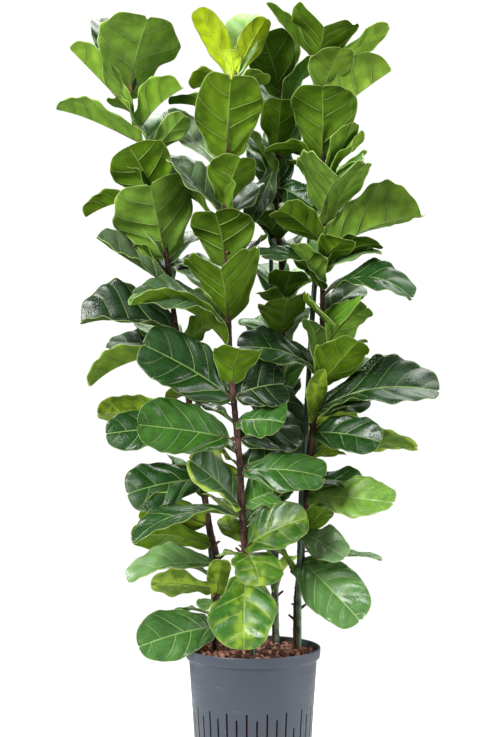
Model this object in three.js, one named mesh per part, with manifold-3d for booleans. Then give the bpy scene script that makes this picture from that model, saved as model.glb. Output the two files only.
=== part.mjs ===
// Potted fiddle leaf fig: four leafy stems, each by its own stake, in a slotted grow pot filled with granulate.
// Millimetres, Z up, the pot stands on z = 0 with its axis on the Z axis, and the front of the plant faces -Y.
import * as THREE from "three";
import Module from "manifold-3d";

const wasm = await Module();
wasm.setup();

// ---- driving dimensions of the pot ----
const POT_HEIGHT = 190;
const POT_BASE_RADIUS = 92.3;
const POT_NECK_RADIUS = 103.6; // just under the lip
const LIP_RADIUS = 109.5;
const LIP_BOTTOM = 173;
const WALL = 2.0;
const FLOOR = 3.0;
const SLOT_COUNT = 38;
const SLOT_WIDTH = 3.0;
const SLOT_BOTTOM = 14;
const SLOT_TOP_LONG = 101;
const SLOT_TOP_SHORT = 91;
const SLOT_TOP_ODD = 75; // one slot stops early, right of the front
const ODD_SLOT = 4;
const SLOT_FIRST_ANGLE = -86.4; // degrees from +X, so 3.6 to the right of the front
const POT_SIDES = SLOT_COUNT;
const POT_FIRST_ANGLE = SLOT_FIRST_ANGLE - 180 / POT_SIDES; // a flat of the wall faces each slot

// ---- driving dimensions of the substrate ----
const SOIL_TOP = 182;
const SOIL_RELIEF = 2.6; // granules stand this far above and below SOIL_TOP
const SOIL_RINGS = 6;
const GAP = 0.35; // between pieces that touch
const SEAT_SLACK = 0.1; // more room where the fill's flats meet the pot's
const HOLE_DEPTH_TO = 100; // height at which stems and stakes end in the substrate

// ---- driving dimensions of stems, stakes and leaves ----
const STEM_SIDES = 7;
const STEM_FOOT_RADIUS = 6.6;
const STEM_TOP_RADIUS = 3.6;
const STAKE_SIDES = 8;
const PETIOLE_HALF_WIDTH = 2.0;
const PETIOLE_THICKNESS = 3.6;
const BLADE_THICKNESS = 1.0;
const KEEL = 1.0; // the midrib stands this much deeper under the blade at the petiole
const JOIN_SLACK = 0.1; // slivers left by a join are cleared within this distance
const WAVES_ALONG_EDGE = 1.5;
const OUTLINE_RISE = 0.62; // exponents of the blade's half width, broad all along and blunt at the tip
const OUTLINE_FALL = 0.42;
const WAIST = 0.12; // depth, place and half length of the fiddle's waist
const WAIST_AT = 0.24;
const WAIST_SPREAD = 0.11;
const EAR = 0.25; // the blade's lobes at the petiole
const EAR_AT = 0.06;
const EAR_BACK = 0.1; // share of the width by which the lobes reach back past the blade's foot
const SIDES_APART = 2.1; // phase between the waves of the two margins
// Rows of points across a blade: place along it, columns across it.
const LARGE_LEAF_ROWS = [[0.1, 2], [0.34, 4], [0.62, 4], [0.86, 4], [0.98, 2]];
const MEDIUM_LEAF_ROWS = [[0.12, 2], [0.46, 4], [0.8, 4], [0.97, 2]];
const LARGE_LEAF_WIDTH = 96;
const SMALL_LEAF_ROWS = [[0.15, 2], [0.6, 2], [0.95, 2]];

// Centre lines of the stems, foot to tip: x, y, z.
const STEMS = {
  left: [
    [-60, 10, 100], [-60, 10, 188], [-58, 8, 330], [-70, 6, 378], [-78, 4, 430], [-92, 2, 524], [-110, 0, 621],
    [-128, 0, 726], [-141, 0, 832], [-153, -4, 955], [-162, -5, 985], [-190, -6, 1020], [-199, -8, 1083],
  ],
  middle: [
    [-6, -40, 100], [-6, -40, 188], [-13, -38, 345], [-18, -36, 426], [-21, -35, 491], [-29, -34, 572],
    [-36, -32, 637], [-39, -30, 718], [-44, -28, 815], [-45, -26, 912], [-42, -24, 985], [-36, -22, 1058],
    [-30, -20, 1104],
  ],
  right: [
    [71, 35, 100], [71, 35, 188], [73, 34, 265], [79, 32, 330], [86, 30, 426], [96, 28, 524], [106, 26, 588],
    [113, 24, 670], [114, 22, 750], [112, 20, 864], [115, 18, 969], [110, 14, 1058], [107, 10, 1143],
  ],
  back: [
    [38, 78, 100], [38, 78, 188], [37, 77, 300], [38, 75, 443], [48, 72, 653], [50, 70, 767], [44, 66, 864],
    [38, 62, 929], [41, 58, 993], [48, 54, 1058], [52, 50, 1107],
  ],
};

// Centre lines and radii of the stakes.
const STAKES = {
  left: {
    radius: 3.5,
    line: [[-63, 24, 100], [-63, 24, 190], [-66, 22, 300], [-72, 20, 370], [-78, 18, 430], [-90, 17, 600]],
  },
  middle: {
    radius: 3.5,
    line: [[0, -26, 100], [0, -26, 190], [-10, -24, 345], [-16, -22, 430], [-27, -20, 560]],
  },
  right: {
    radius: 4.5,
    line: [
      [75, 20, 100], [75, 20, 190], [75, 19, 294], [79, 19, 441], [85, 24, 524], [92, 27, 637], [99, 28, 751],
      [103, 31, 800],
    ],
  },
  back: {
    radius: 3.5,
    line: [[40, 64, 100], [40, 64, 190], [35, 62, 436], [31, 58, 753], [30, 56, 835]],
  },
};

// The leaves that show from the front, one row each:
// name, height of its node on the stem, tip x, tip y, tip z, blade width, roll about its length in degrees,
// arch of the midrib, fold of the two halves in degrees, edge wave, petiole length, columns in each half,
// youth from 0 to 1.
const LEAVES = {
  left: [
    ["L01", 1080, -171, -45, 1206, 138, 0, 10, 10, 12, 16, 2, 0.45],
    ["L02", 1075, -250, 30, 1215, 62, -30, 8, 10, 5, 20, 2, 0.1],
    ["L03", 1050, -294, -20, 1158, 62, 10, 2, 50, 3, 20, 2, 0.55],
    ["L04", 1020, -115, -30, 1100, 74, -15, 20, 50, 4, 18, 2, 0.5],
    ["L05", 1000, -315, -10, 1065, 62, 14, 4, 28, 4, 20, 2, 0.5],
    ["L06", 910, -215, -50, 985, 112, 5, 8, 6, 8, 18, 2, 0.4],
    ["L07", 820, -150, -65, 930, 150, 30, 6, 28, 12, 18, 2, 0.5],
    ["L08", 900, -270, 10, 890, 62, 8, 14, 38, 4, 24, 2, 0.5],
    ["L09", 775, -250, -20, 860, 64, -38, 0, 24, 5, 26, 2, 0.05],
    ["L10", 905, -140, 50, 995, 50, 0, 5, 10, 5, 18, 1, 0.1],
    ["L11", 985, -115, -30, 1045, 52, -45, 5, 8, 5, 16, 1, 0.4],
    ["L32", 885, -100, 30, 945, 40, 20, 8, 20, 4, 18, 1, 0.1],
    ["L15", 805, -92, 52, 868, 50, 10, 6, 8, 4, 18, 1, 0.2],
    ["L12", 700, -280, -25, 725, 110, -38, 14, 36, 6, 26, 2, 0.1],
    ["L13", 665, -240, 40, 685, 48, -20, 8, 8, 4, 30, 1, 0.1],
    ["L14", 665, -260, -30, 620, 64, 10, 13, 36, 5, 34, 2, 0.6],
    ["L31", 675, -65, 10, 715, 55, -45, 6, 8, 4, 18, 1, 0.5],
    ["L17", 555, -255, 10, 570, 52, 40, 4, 10, 4, 34, 1, 0.7],
    ["L18", 540, -235, -20, 535, 72, -55, 8, 5, 5, 34, 2, 0.2],
    ["L19", 460, -205, -30, 440, 90, -55, 10, 5, 6, 18, 2, 0.25],
    ["L20", 425, -138, 40, 495, 56, 0, 5, 10, 5, 20, 1, 0.5],
    ["L22", 385, -175, -32, 415, 78, 50, 8, 8, 8, 20, 2, 0.7],
    ["L23", 350, -195, 10, 365, 72, 42, 14, 5, 5, 20, 1, 0.5],
    ["L24", 320, -200, -40, 305, 76, -30, 15, 24, 5, 18, 2, 0.3],
    ["L25", 280, -165, 10, 290, 70, 42, 5, 5, 5, 18, 2, 0.8],
    ["L26", 265, -50, -50, 335, 40, 0, 5, 10, 4, 8, 1, 0.9],
    ["L27", 255, -90, -20, 260, 25, -50, 3, 5, 3, 8, 1, 0.5],
    ["L28", 220, -180, -60, 200, 84, -58, 16, 5, 5, 22, 2, 0.15],
    ["L29", 235, -125, 30, 245, 45, 10, 5, 10, 4, 16, 1, 0.5],
    ["L30", 195, -105, -10, 200, 40, 40, 6, 8, 3, 12, 1, 0.7],
  ],
  middle: [
    ["M01", 1100, -85, -25, 1215, 50, 50, 8, 5, 3, 16, 2, 1],
    ["M02", 1105, -5, 25, 1220, 68, 5, 5, 10, 3, 14, 2, 0.8],
    ["M03", 1105, 20, -35, 1200, 45, -50, 6, 5, 3, 14, 1, 0.95],
    ["M04", 1100, -35, -35, 1150, 28, 0, 3, 12, 2, 8, 1, 1],
    ["M05", 1085, -105, 5, 1115, 55, 10, 20, 5, 3, 14, 1, 0.8],
    ["M06", 1085, 25, 0, 1105, 55, -10, 16, 5, 3, 14, 1, 0.75],
    ["M07", 975, -35, -75, 1095, 112, 0, 8, 10, 5, 16, 2, 0.5],
    ["M08", 1040, -135, 20, 1075, 46, 8, 6, 30, 4, 20, 1, 0.3],
    ["M10", 955, -140, 42, 1060, 54, -35, 0, 15, 5, 22, 2, 0.1],
    ["M11", 880, -135, -15, 975, 85, -30, 5, 20, 5, 20, 2, 0.1],
    ["M12", 900, -20, -75, 970, 84, 0, 6, 18, 7, 16, 2, 0.45],
    ["M13", 875, -60, -40, 955, 55, 0, 5, 10, 5, 18, 1, 0.3],
    ["M14", 800, -60, -70, 885, 104, 0, 8, 8, 6, 18, 2, 0.3],
    ["M15", 715, -50, -150, 790, 158, 0, 10, 34, 8, 20, 2, 0.45],
    ["M16", 740, -124, 44, 818, 66, -30, 15, 8, 5, 24, 2, 0.1],
    ["M17", 730, -105, 30, 765, 50, 20, 5, 8, 4, 22, 1, 0.4],
    ["M19", 710, -190, -58, 754, 94, -30, 25, 8, 6, 24, 2, 0.1],
    ["M20", 670, -190, -95, 740, 64, 6, 30, 34, 4, 22, 2, 0.5],
    ["M23", 610, -20, -108, 670, 78, 0, 15, 5, 5, 16, 2, 0.5],
    ["M33", 590, -170, -60, 670, 114, -62, 12, 5, 7, 20, 2, 0.2],
    ["M38", 580, -140, -45, 600, 50, 20, 8, 5, 5, 26, 1, 0.9],
    ["M26", 555, 45, -75, 555, 78, 45, 5, 5, 4, 18, 2, 0.45],
    ["M34", 525, -180, -80, 555, 95, -60, 8, 5, 6, 40, 2, 0.2],
    ["M36", 480, -75, 10, 515, 45, 30, 5, 8, 4, 22, 1, 0.6],
    ["M27", 475, 110, -70, 470, 80, 42, 10, 4, 5, 18, 2, 0.35],
    ["M35", 415, -100, -70, 495, 92, -45, 6, 8, 6, 18, 2, 0.2],
    ["M37", 400, -190, -88, 375, 70, -10, 25, 6, 5, 20, 2, 0.2],
    ["M31", 360, -50, 10, 395, 35, -30, 3, 8, 3, 14, 1, 0.6],
    ["M28", 355, 85, -70, 405, 82, 58, 8, 3, 5, 12, 2, 0.75],
    ["M29", 345, 10, -90, 300, 92, 0, 12, 3, 4, 14, 2, 0.8],
    ["M32", 345, -58, -46, 340, 46, 0, 2, 5, 3, 16, 1, 0.6],
    ["M30", 310, -15, -110, 205, 104, 0, 12, 3, 5, 14, 2, 0.7],
    ["M40", 595, 50, -20, 615, 95, 50, 8, 5, 5, 18, 2, 0.05],
    ["M41", 525, 75, 0, 550, 95, 50, 8, 5, 5, 18, 2, 0.05],
    ["M09", 865, 8, 22, 940, 62, 0, 6, 8, 5, 18, 1, 0.1],
    ["M18", 790, 14, 26, 850, 74, -10, 6, 8, 5, 18, 1, 0.1],
    ["M42", 480, 52, -4, 500, 84, 50, 8, 5, 5, 18, 1, 0.1],
    ["M43", 420, 34, -10, 440, 70, 40, 6, 6, 5, 16, 1, 0.5],
  ],
  right: [
    ["R01", 1140, 25, -10, 1230, 42, 0, -7, 28, 4, 20, 2, 0.2],
    ["R02", 1140, 110, -110, 1172, 130, -10, 4, 34, 8, 14, 2, 0.45],
    ["R03", 1110, 220, 10, 1195, 52, -30, 5, 8, 5, 18, 1, 0.5],
    ["R07", 1075, 140, -50, 1150, 75, -10, 6, 8, 6, 16, 2, 0.4],
    ["R08", 1035, 222, -20, 1127, 98, -20, 6, 45, 5, 20, 2, 0.5],
    ["R09", 980, 110, -60, 1090, 106, 0, 8, 10, 8, 14, 2, 0.35],
    ["R11", 965, 20, 0, 990, 52, 12, 20, 6, 4, 20, 1, 0.5],
    ["R12", 895, 130, -150, 935, 132, 0, 8, 38, 8, 16, 2, 0.4],
    ["R13", 820, 270, -35, 890, 125, -18, 10, 48, 6, 22, 2, 0.5],
    ["R14", 860, 160, 60, 920, 60, 20, 5, 8, 5, 20, 1, 0.1],
    ["R15", 845, 40, -50, 895, 66, 30, 8, 10, 6, 18, 2, 0.4],
    ["R16", 815, 145, -50, 845, 60, -20, 5, 8, 5, 16, 1, 0.5],
    ["R17", 790, 205, -10, 820, 65, -20, 18, 8, 5, 20, 2, 0.3],
    ["R18", 765, 15, -60, 820, 92, -28, 22, 5, 5, 20, 2, 0.15],
    ["R20", 760, 255, -30, 765, 95, 12, 36, 8, 6, 20, 2, 0.2],
    ["R24", 720, 180, 60, 775, 60, 30, 8, 8, 5, 16, 1, 0.1],
    ["R25", 720, 130, -110, 706, 115, 0, 0, 40, 6, 14, 2, 0.6],
    ["R26", 635, 90, -45, 720, 40, -20, 5, 10, 4, 16, 1, 0],
    ["R27", 605, 165, -60, 680, 82, -15, 6, 8, 7, 16, 2, 0.5],
    ["R28", 610, 230, 50, 645, 50, 20, 8, 8, 4, 30, 1, 0.4],
    ["R29", 570, 295, -30, 600, 108, 35, 24, 8, 6, 22, 2, 0.1],
    ["R31", 545, 170, 10, 565, 45, -15, 6, 8, 4, 16, 1, 0.6],
    ["R32", 545, 110, -30, 635, 38, 20, 4, 8, 4, 12, 1, 0.6],
    ["R33", 535, 200, -60, 525, 70, 50, 8, 4, 5, 16, 2, 0.2],
    ["R34", 500, 265, 20, 515, 60, -30, 12, 6, 5, 30, 1, 0.8],
    ["R35", 490, 150, 10, 515, 35, -15, 5, 8, 4, 14, 1, 0.6],
    ["R36", 455, 185, 20, 465, 60, 35, 8, 8, 5, 18, 1, 0.2],
    ["R37", 430, 220, -60, 425, 80, 50, 8, 4, 6, 18, 2, 0.4],
    ["R38", 365, 120, -22, 420, 42, -40, 5, 8, 5, 14, 1, 0.4],
    ["R39", 370, 145, -60, 340, 58, 45, 8, 4, 5, 14, 2, 0.3],
    ["R40", 340, 210, 20, 330, 45, 0, 3, 4, 3, 20, 1, 0.4],
    ["R41", 325, 170, -70, 240, 94, 45, 10, 4, 5, 14, 2, 0.3],
    ["R42", 310, 150, 0, 320, 35, -20, 4, 8, 3, 14, 1, 0.8],
    ["R43", 290, 36, 36, 345, 46, 20, 5, 8, 4, 18, 1, 0.5],
    ["R45", 495, 55, 70, 510, 60, -30, 5, 8, 5, 18, 1, 0.2],
    ["R50", 630, -20, -12, 672, 88, -38, 20, 8, 5, 26, 2, 0.1],
    ["R10", 930, 182, 30, 1022, 62, -10, 6, 8, 5, 18, 1, 0.6],
    ["R19", 925, 62, 60, 985, 60, 0, 6, 8, 5, 18, 1, 0.15],
    ["R21", 770, 70, -20, 838, 60, 10, 5, 8, 5, 16, 1, 0.5],
  ],
  back: [
    ["B02", 620, 70, 42, 520, 60, 40, 8, 5, 5, 24, 2, 0.05],
    ["B04", 1085, 15, -10, 1180, 85, 20, 8, 10, 6, 16, 2, 0.2],
    ["B05", 1075, 65, 80, 1165, 45, 0, 5, 8, 4, 16, 1, 0.4],
    ["B06", 1100, 30, 40, 1195, 70, 20, 8, 8, 6, 14, 2, 0.3],
    ["B10", 995, 45, -20, 1075, 62, 0, 6, 10, 5, 16, 2, 0.5],
    ["B11", 945, -10, 40, 1030, 60, -15, 5, 12, 6, 18, 2, 0.1],
    ["B12", 985, -5, 10, 880, 45, -20, -4, 10, 4, 18, 1, 0],
    ["B13", 945, 98, 22, 905, 52, 60, 6, 8, 5, 18, 1, 0.2],
    ["B14", 850, 0, 20, 890, 62, 0, 5, 8, 5, 16, 1, 0],
    ["B19", 755, 65, -5, 795, 68, 0, 6, 8, 6, 18, 2, 0.35],
    ["B22", 745, 15, -15, 765, 38, 20, 4, 8, 3, 18, 1, 0.5],
    ["B23", 695, 55, -30, 755, 80, 10, 6, 8, 7, 16, 2, 0.5],
    ["B44", 405, 2, 60, 470, 34, 0, 4, 8, 4, 24, 1, 0.7],
    ["B46", 410, 76, 22, 465, 32, 40, 5, 8, 4, 22, 1, 0.8],
    ["B07", 1060, 100, 40, 1150, 56, -10, 5, 10, 4, 16, 1, 0.1],
  ],
};

// Leaves on the far side, set by rule: how many, between which heights, towards which side (degrees from +X)
// and how far to each side of it.
const FAR_SIDE = {
  left: { count: 5, low: 630, high: 1010, toward: 150, spread: 18, length: 120 },
  middle: { count: 0, low: 0, high: 0, toward: 0, spread: 0, length: 0 },
  right: { count: 6, low: 330, high: 1060, toward: 52, spread: 24, length: 120 },
  back: { count: 12, low: 300, high: 1060, toward: 92, spread: 44, length: 125 },
};
const FAR_SIDE_SEED = 41;
// What a draw decides about a leaf on the far side: the least value, and how much a draw adds at most.
const FAR_SIDE_DRAWS = {
  reach: [0.85, 0.3], // share of the length
  climb: [28, 22], // degrees above level
  width: [78, 22],
  roll: [-12, 24],
  arch: [8, 10],
  youth: [0.2, 0.4],
};
const FAR_SIDE_STEEPER = 14; // degrees that the highest leaf climbs more
const FAR_SIDE_FOLD = 12;
const FAR_SIDE_WAVE = 6;
const FAR_SIDE_PETIOLE = 20;

// ---- small helpers ----

// Repeatable draws from 0 to 1.
function draws(seed) {
  let state = seed >>> 0;
  return () => {
    state = (Math.imul(state, 1664525) + 1013904223) >>> 0;
    return state / 4294967296;
  };
}

const radians = (degrees) => (degrees * Math.PI) / 180;

// A closed solid from a list of points and a list of triangles over them.
function solid(points, triangles) {
  return new wasm.Manifold(
    new wasm.Mesh({
      numProp: 3,
      vertProperties: new Float32Array(points.flat()),
      triVerts: new Uint32Array(triangles.flat()),
    }),
  );
}

// The biggest body of a solid: loose scraps are dropped and sealed hollows filled.
function mainBody(made) {
  return made.decompose().reduce((a, b) => (b.volume() > a.volume() ? b : a));
}

// Point of a centre line at a height.
function lineAt(line, z) {
  let i = 0;
  while (i < line.length - 2 && line[i + 1][2] < z) i++;
  const [a, b] = [line[i], line[i + 1]];
  const t = Math.min(Math.max((z - a[2]) / (b[2] - a[2]), 0), 1);
  return new THREE.Vector3(a[0] + (b[0] - a[0]) * t, a[1] + (b[1] - a[1]) * t, z);
}

// A round bar along a centre line, closed at both ends.
function bar(line, radii, sides, firstAngle = 0) {
  const points = [];
  const triangles = [];
  line.forEach((p, i) => {
    for (let k = 0; k < sides; k++) {
      const angle = firstAngle + (2 * Math.PI * k) / sides;
      points.push([p[0] + radii[i] * Math.cos(angle), p[1] + radii[i] * Math.sin(angle), p[2]]);
    }
  });
  for (let i = 0; i + 1 < line.length; i++)
    for (let k = 0; k < sides; k++) {
      const [a, b] = [i * sides + k, i * sides + ((k + 1) % sides)];
      triangles.push([a, b, b + sides], [a, b + sides, a + sides]);
    }
  const top = (line.length - 1) * sides;
  for (let k = 1; k + 1 < sides; k++) triangles.push([0, k + 1, k], [top, top + k, top + k + 1]);
  return solid(points, triangles);
}

// A turned body: rings of a closed profile of [radius, z], going round against the clock seen from +Y.
function turned(profile, sides, firstAngle) {
  const points = [];
  const triangles = [];
  for (let k = 0; k < sides; k++) {
    const angle = firstAngle + (2 * Math.PI * k) / sides;
    for (const [r, z] of profile) points.push([r * Math.cos(angle), r * Math.sin(angle), z]);
  }
  const n = profile.length;
  for (let k = 0; k < sides; k++)
    for (let i = 0; i < n; i++) {
      const j = (i + 1) % n;
      const next = (k + 1) % sides;
      triangles.push([k * n + i, next * n + i, next * n + j], [k * n + i, next * n + j, k * n + j]);
    }
  return solid(points, triangles);
}

// ---- leaves ----

// Half width of a blade at t along it, 1 at the widest place: a rise and a fall, with a waist and two lobes
// at the foot.
function outline(t) {
  const sum = OUTLINE_RISE + OUTLINE_FALL;
  const top = (OUTLINE_RISE / sum) ** OUTLINE_RISE * (OUTLINE_FALL / sum) ** OUTLINE_FALL;
  const body = (t ** OUTLINE_RISE * (1 - t) ** OUTLINE_FALL) / top;
  const waist = 1 - WAIST * Math.exp(-(((t - WAIST_AT) / WAIST_SPREAD) ** 2));
  const ear = 1 + EAR * Math.exp(-(((t - EAR_AT) / EAR_AT) ** 2));
  return body * waist * ear;
}

// A leaf with its petiole as one closed sheet, the same triangles on both faces.
// The midrib is a curve from the stem's axis to the tip, bowed by the arch towards the upper face.
function leafSolid(root, [name, , x, y, z, width, roll, arch, fold, wave, petiole, columns]) {
  const tip = new THREE.Vector3(x, y, z);
  const chord = tip.clone().sub(root);
  const length = chord.length();
  const along = chord.clone().normalize();
  const up = new THREE.Vector3(0, 0, 1).addScaledVector(along, -along.z).normalize();
  const side = along.clone().cross(up);
  const face = up.multiplyScalar(Math.cos(radians(roll))).addScaledVector(side, Math.sin(radians(roll)));
  const middle = root.clone().addScaledVector(chord, 0.5).addScaledVector(face, 2 * arch);
  const start = Math.min(0.3, petiole / length);
  const phase = radians([...name].reduce((sum, c) => sum + 37 * c.charCodeAt(0), 0) % 360);
  const rows = columns < 2 ? SMALL_LEAF_ROWS : width < LARGE_LEAF_WIDTH ? MEDIUM_LEAF_ROWS : LARGE_LEAF_ROWS;
  const upper = [];
  const lower = [];
  // One row across the leaf at q along the midrib, at t along the blade, as the numbers of its points.
  const addRow = (q, t, columnsHere) => {
    const centre = root.clone().multiplyScalar((1 - q) ** 2);
    centre.addScaledVector(middle, 2 * q * (1 - q)).addScaledVector(tip, q * q);
    const ahead = middle.clone().sub(root).multiplyScalar(1 - q);
    ahead.addScaledVector(tip.clone().sub(middle), q).normalize();
    const normal = face.clone().addScaledVector(ahead, -face.dot(ahead)).normalize();
    const right = ahead.clone().cross(normal);
    const onPetiole = t === 0;
    const half = onPetiole ? PETIOLE_HALF_WIDTH : (width / 2) * outline(t);
    return Array.from({ length: columnsHere + 1 }, (_, j) => {
      const s = (2 * j) / columnsHere - 1;
      const out = half * Math.abs(s);
      const edgeWave = wave * s * s * Math.sqrt(Math.sin(Math.PI * t)) *
        Math.sin(2 * Math.PI * WAVES_ALONG_EDGE * t + phase + (s > 0 ? SIDES_APART : 0));
      const rise = onPetiole ? 0 : out * Math.sin(radians(fold)) + edgeWave;
      const aside = onPetiole ? out : out * Math.cos(radians(fold));
      const back = onPetiole ? 0 : EAR_BACK * width * (1 - t) ** 4 * Math.abs(s);
      const p = centre.clone().addScaledVector(right, aside * Math.sign(s));
      p.addScaledVector(normal, rise).addScaledVector(ahead, -back);
      const thick = onPetiole ? PETIOLE_THICKNESS : BLADE_THICKNESS;
      const keel = onPetiole ? 0 : KEEL * (1 - t) * (1 - Math.abs(s));
      upper.push(p.clone().addScaledVector(normal, thick / 2).toArray());
      lower.push(p.clone().addScaledVector(normal, -thick / 2 - keel).toArray());
      return upper.length - 1;
    });
  };
  const blade = rows.map(([t, across]) => addRow(start + (1 - start) * t, t, across));
  const strips = [addRow(0, 0, 1), addRow(start, 0, 1), ...blade];
  const count = upper.length;
  const triangles = [];
  const onBoth = (a, b, c) => triangles.push([a, b, c], [count + a, count + c, count + b]);
  strips.slice(1).forEach((far, i) => {
    const near = strips[i];
    const [m, n] = [near.length - 1, far.length - 1];
    for (let j = 0, k = 0; j < m || k < n; )
      if (k < n && (j >= m || (k + 1) / n <= (j + 1) / m)) onBoth(near[j], far[k + 1], far[k++]);
      else onBoth(near[j], near[j + 1], far[k], j++);
    const [a, b, c, d] = [near[0], far[0], near[m], far[n]];
    triangles.push([a, b, count + b], [a, count + b, count + a]);
    triangles.push([c, count + c, count + d], [c, count + d, d]);
  });
  for (let j = 0; j + 1 < strips.at(-1).length; j++) {
    const [e, f] = [strips.at(-1)[j], strips.at(-1)[j + 1]];
    triangles.push([e, f, count + f], [e, count + f, count + e]);
  }
  const [g, h] = strips[0];
  triangles.push([g, count + g, count + h], [g, count + h, h]);
  const made = solid([...upper, ...lower], triangles);
  return made.volume() < 0 ? solid([...upper, ...lower], triangles.map(([a, b, c]) => [a, c, b])) : made;
}

// The rows of the leaves on the far side of a stem.
function farSideRows(key) {
  const { count, low, high, toward, spread, length } = FAR_SIDE[key];
  const draw = draws(FAR_SIDE_SEED + key.length * 7);
  const drawn = (name) => FAR_SIDE_DRAWS[name][0] + FAR_SIDE_DRAWS[name][1] * draw();
  return Array.from({ length: count }, (_, i) => {
    const z = low + ((high - low) * (i + 0.2 + 0.6 * draw())) / count;
    const azimuth = radians(toward + spread * (i % 2 ? 1 : -1) * (0.35 + 0.65 * draw()));
    const reach = length * drawn("reach");
    const climb = radians(drawn("climb") + (FAR_SIDE_STEEPER * (z - low)) / (high - low));
    const foot = lineAt(STEMS[key], z);
    const flat = reach * Math.cos(climb);
    const tipX = foot.x + flat * Math.cos(azimuth);
    const tipY = foot.y + flat * Math.sin(azimuth);
    const tipZ = z + reach * Math.sin(climb);
    return [
      key[0].toUpperCase() + "F" + i, z, tipX, tipY, tipZ, drawn("width"), drawn("roll"), drawn("arch"),
      FAR_SIDE_FOLD, FAR_SIDE_WAVE, FAR_SIDE_PETIOLE, 1, drawn("youth"),
    ];
  });
}

function leafyStem(key) {
  const line = STEMS[key];
  const foot = line[0][2];
  const height = line[line.length - 1][2] - foot;
  const taper = (STEM_TOP_RADIUS - STEM_FOOT_RADIUS) / height;
  const radii = line.map((p) => STEM_FOOT_RADIUS + taper * (p[2] - foot));
  const leaves = [...LEAVES[key], ...farSideRows(key)].map((row) => leafSolid(lineAt(line, row[1]), row));
  return mainBody(wasm.Manifold.union([bar(line, radii, STEM_SIDES), ...leaves]).simplify(JOIN_SLACK));
}

// ---- pot and substrate ----

function pot() {
  const shell = turned(
    [
      [POT_BASE_RADIUS - 1, 0], [POT_BASE_RADIUS, 1], [POT_NECK_RADIUS, LIP_BOTTOM - 0.5],
      [LIP_RADIUS - 1.6, LIP_BOTTOM], [LIP_RADIUS - 0.6, LIP_BOTTOM + 1.4],
      [LIP_RADIUS, POT_HEIGHT - 1.5], [LIP_RADIUS - 1.2, POT_HEIGHT],
      [LIP_RADIUS - 2.6, POT_HEIGHT], [LIP_RADIUS - 3.6, POT_HEIGHT - 2],
      [POT_NECK_RADIUS - WALL, LIP_BOTTOM - 2],
      [POT_BASE_RADIUS - WALL, FLOOR], [POT_BASE_RADIUS - 1 - WALL, 0],
    ],
    POT_SIDES, radians(POT_FIRST_ANGLE),
  );
  const floorRadii = [POT_BASE_RADIUS - 1, POT_BASE_RADIUS - 1];
  const floor = bar([[0, 0, 0], [0, 0, FLOOR]], floorRadii, POT_SIDES, radians(POT_FIRST_ANGLE));
  const slots = Array.from({ length: SLOT_COUNT }, (_, k) => {
    const angle = radians(SLOT_FIRST_ANGLE + (360 * k) / SLOT_COUNT);
    const top = k === ODD_SLOT ? SLOT_TOP_ODD : k % 2 ? SLOT_TOP_LONG : SLOT_TOP_SHORT;
    const out = [Math.cos(angle), Math.sin(angle)];
    const corners = [];
    for (const z of [SLOT_BOTTOM, top])
      for (const [r, s] of [[86, -1], [112, -1], [112, 1], [86, 1]]) {
        const aside = (s * SLOT_WIDTH) / 2;
        corners.push([r * out[0] - aside * out[1], r * out[1] + aside * out[0], z]);
      }
    return solid(corners, [
      [0, 2, 1], [0, 3, 2], [4, 5, 6], [4, 6, 7],
      [0, 1, 5], [0, 5, 4], [1, 2, 6], [1, 6, 5], [2, 3, 7], [2, 7, 6], [3, 0, 4], [3, 4, 7],
    ]);
  });
  return mainBody(shell.add(floor).subtract(wasm.Manifold.union(slots)));
}

// The fill follows the pot's inside. Its top is a field of granules: every point of the grid is raised or
// lowered by a draw.
function substrate() {
  const draw = draws(7);
  const draft = (POT_NECK_RADIUS - POT_BASE_RADIUS) / (LIP_BOTTOM - 2);
  const inner = (z) => POT_BASE_RADIUS + draft * Math.min(z, LIP_BOTTOM - 2) - WALL - GAP - SEAT_SLACK;
  const points = [[0, 0, SOIL_TOP]];
  const triangles = [];
  const ring = (r, z) => {
    const first = points.length;
    for (let k = 0; k < POT_SIDES; k++) {
      const angle = radians(POT_FIRST_ANGLE) + (2 * Math.PI * k) / POT_SIDES;
      const rough = typeof z === "function" ? z() : z;
      points.push([r * Math.cos(angle), r * Math.sin(angle), rough]);
    }
    return first;
  };
  const skirt = (upper, lower) => {
    for (let k = 0; k < POT_SIDES; k++) {
      const m = (k + 1) % POT_SIDES;
      triangles.push([upper + k, lower + k, lower + m], [upper + k, lower + m, upper + m]);
    }
  };
  const fan = (centre, around) => {
    for (let k = 0; k < POT_SIDES; k++) triangles.push([centre, around + k, around + ((k + 1) % POT_SIDES)]);
  };
  const edge = inner(SOIL_TOP);
  let previous = -1;
  for (let i = 1; i <= SOIL_RINGS; i++) {
    const r = (edge * i) / SOIL_RINGS;
    const lowered = i === SOIL_RINGS ? 3 : 0;
    const current = ring(r, () => SOIL_TOP - lowered + SOIL_RELIEF * (2 * draw() - 1));
    if (previous < 0) fan(0, current);
    else skirt(previous, current);
    previous = current;
  }
  for (const z of [LIP_BOTTOM - 2, FLOOR + GAP]) {
    const current = ring(inner(z), z);
    skirt(previous, current);
    previous = current;
  }
  points.push([0, 0, FLOOR + GAP]);
  for (let k = 0; k < POT_SIDES; k++) {
    triangles.push([points.length - 1, previous + ((k + 1) % POT_SIDES), previous + k]);
  }
  const fill = solid(points, triangles);
  const holes = [
    ...Object.values(STEMS).map((line) => ({ at: line[0], radius: STEM_FOOT_RADIUS, sides: STEM_SIDES })),
    ...Object.values(STAKES).map(({ line, radius }) => ({ at: line[0], radius, sides: STAKE_SIDES })),
  ].map(({ at, radius, sides }) => {
    const wide = radius + GAP / Math.cos(Math.PI / sides);
    return bar([[at[0], at[1], HOLE_DEPTH_TO - GAP], [at[0], at[1], SOIL_TOP + 30]], [wide, wide], sides);
  });
  return mainBody(fill.subtract(wasm.Manifold.union(holes)));
}

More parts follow.
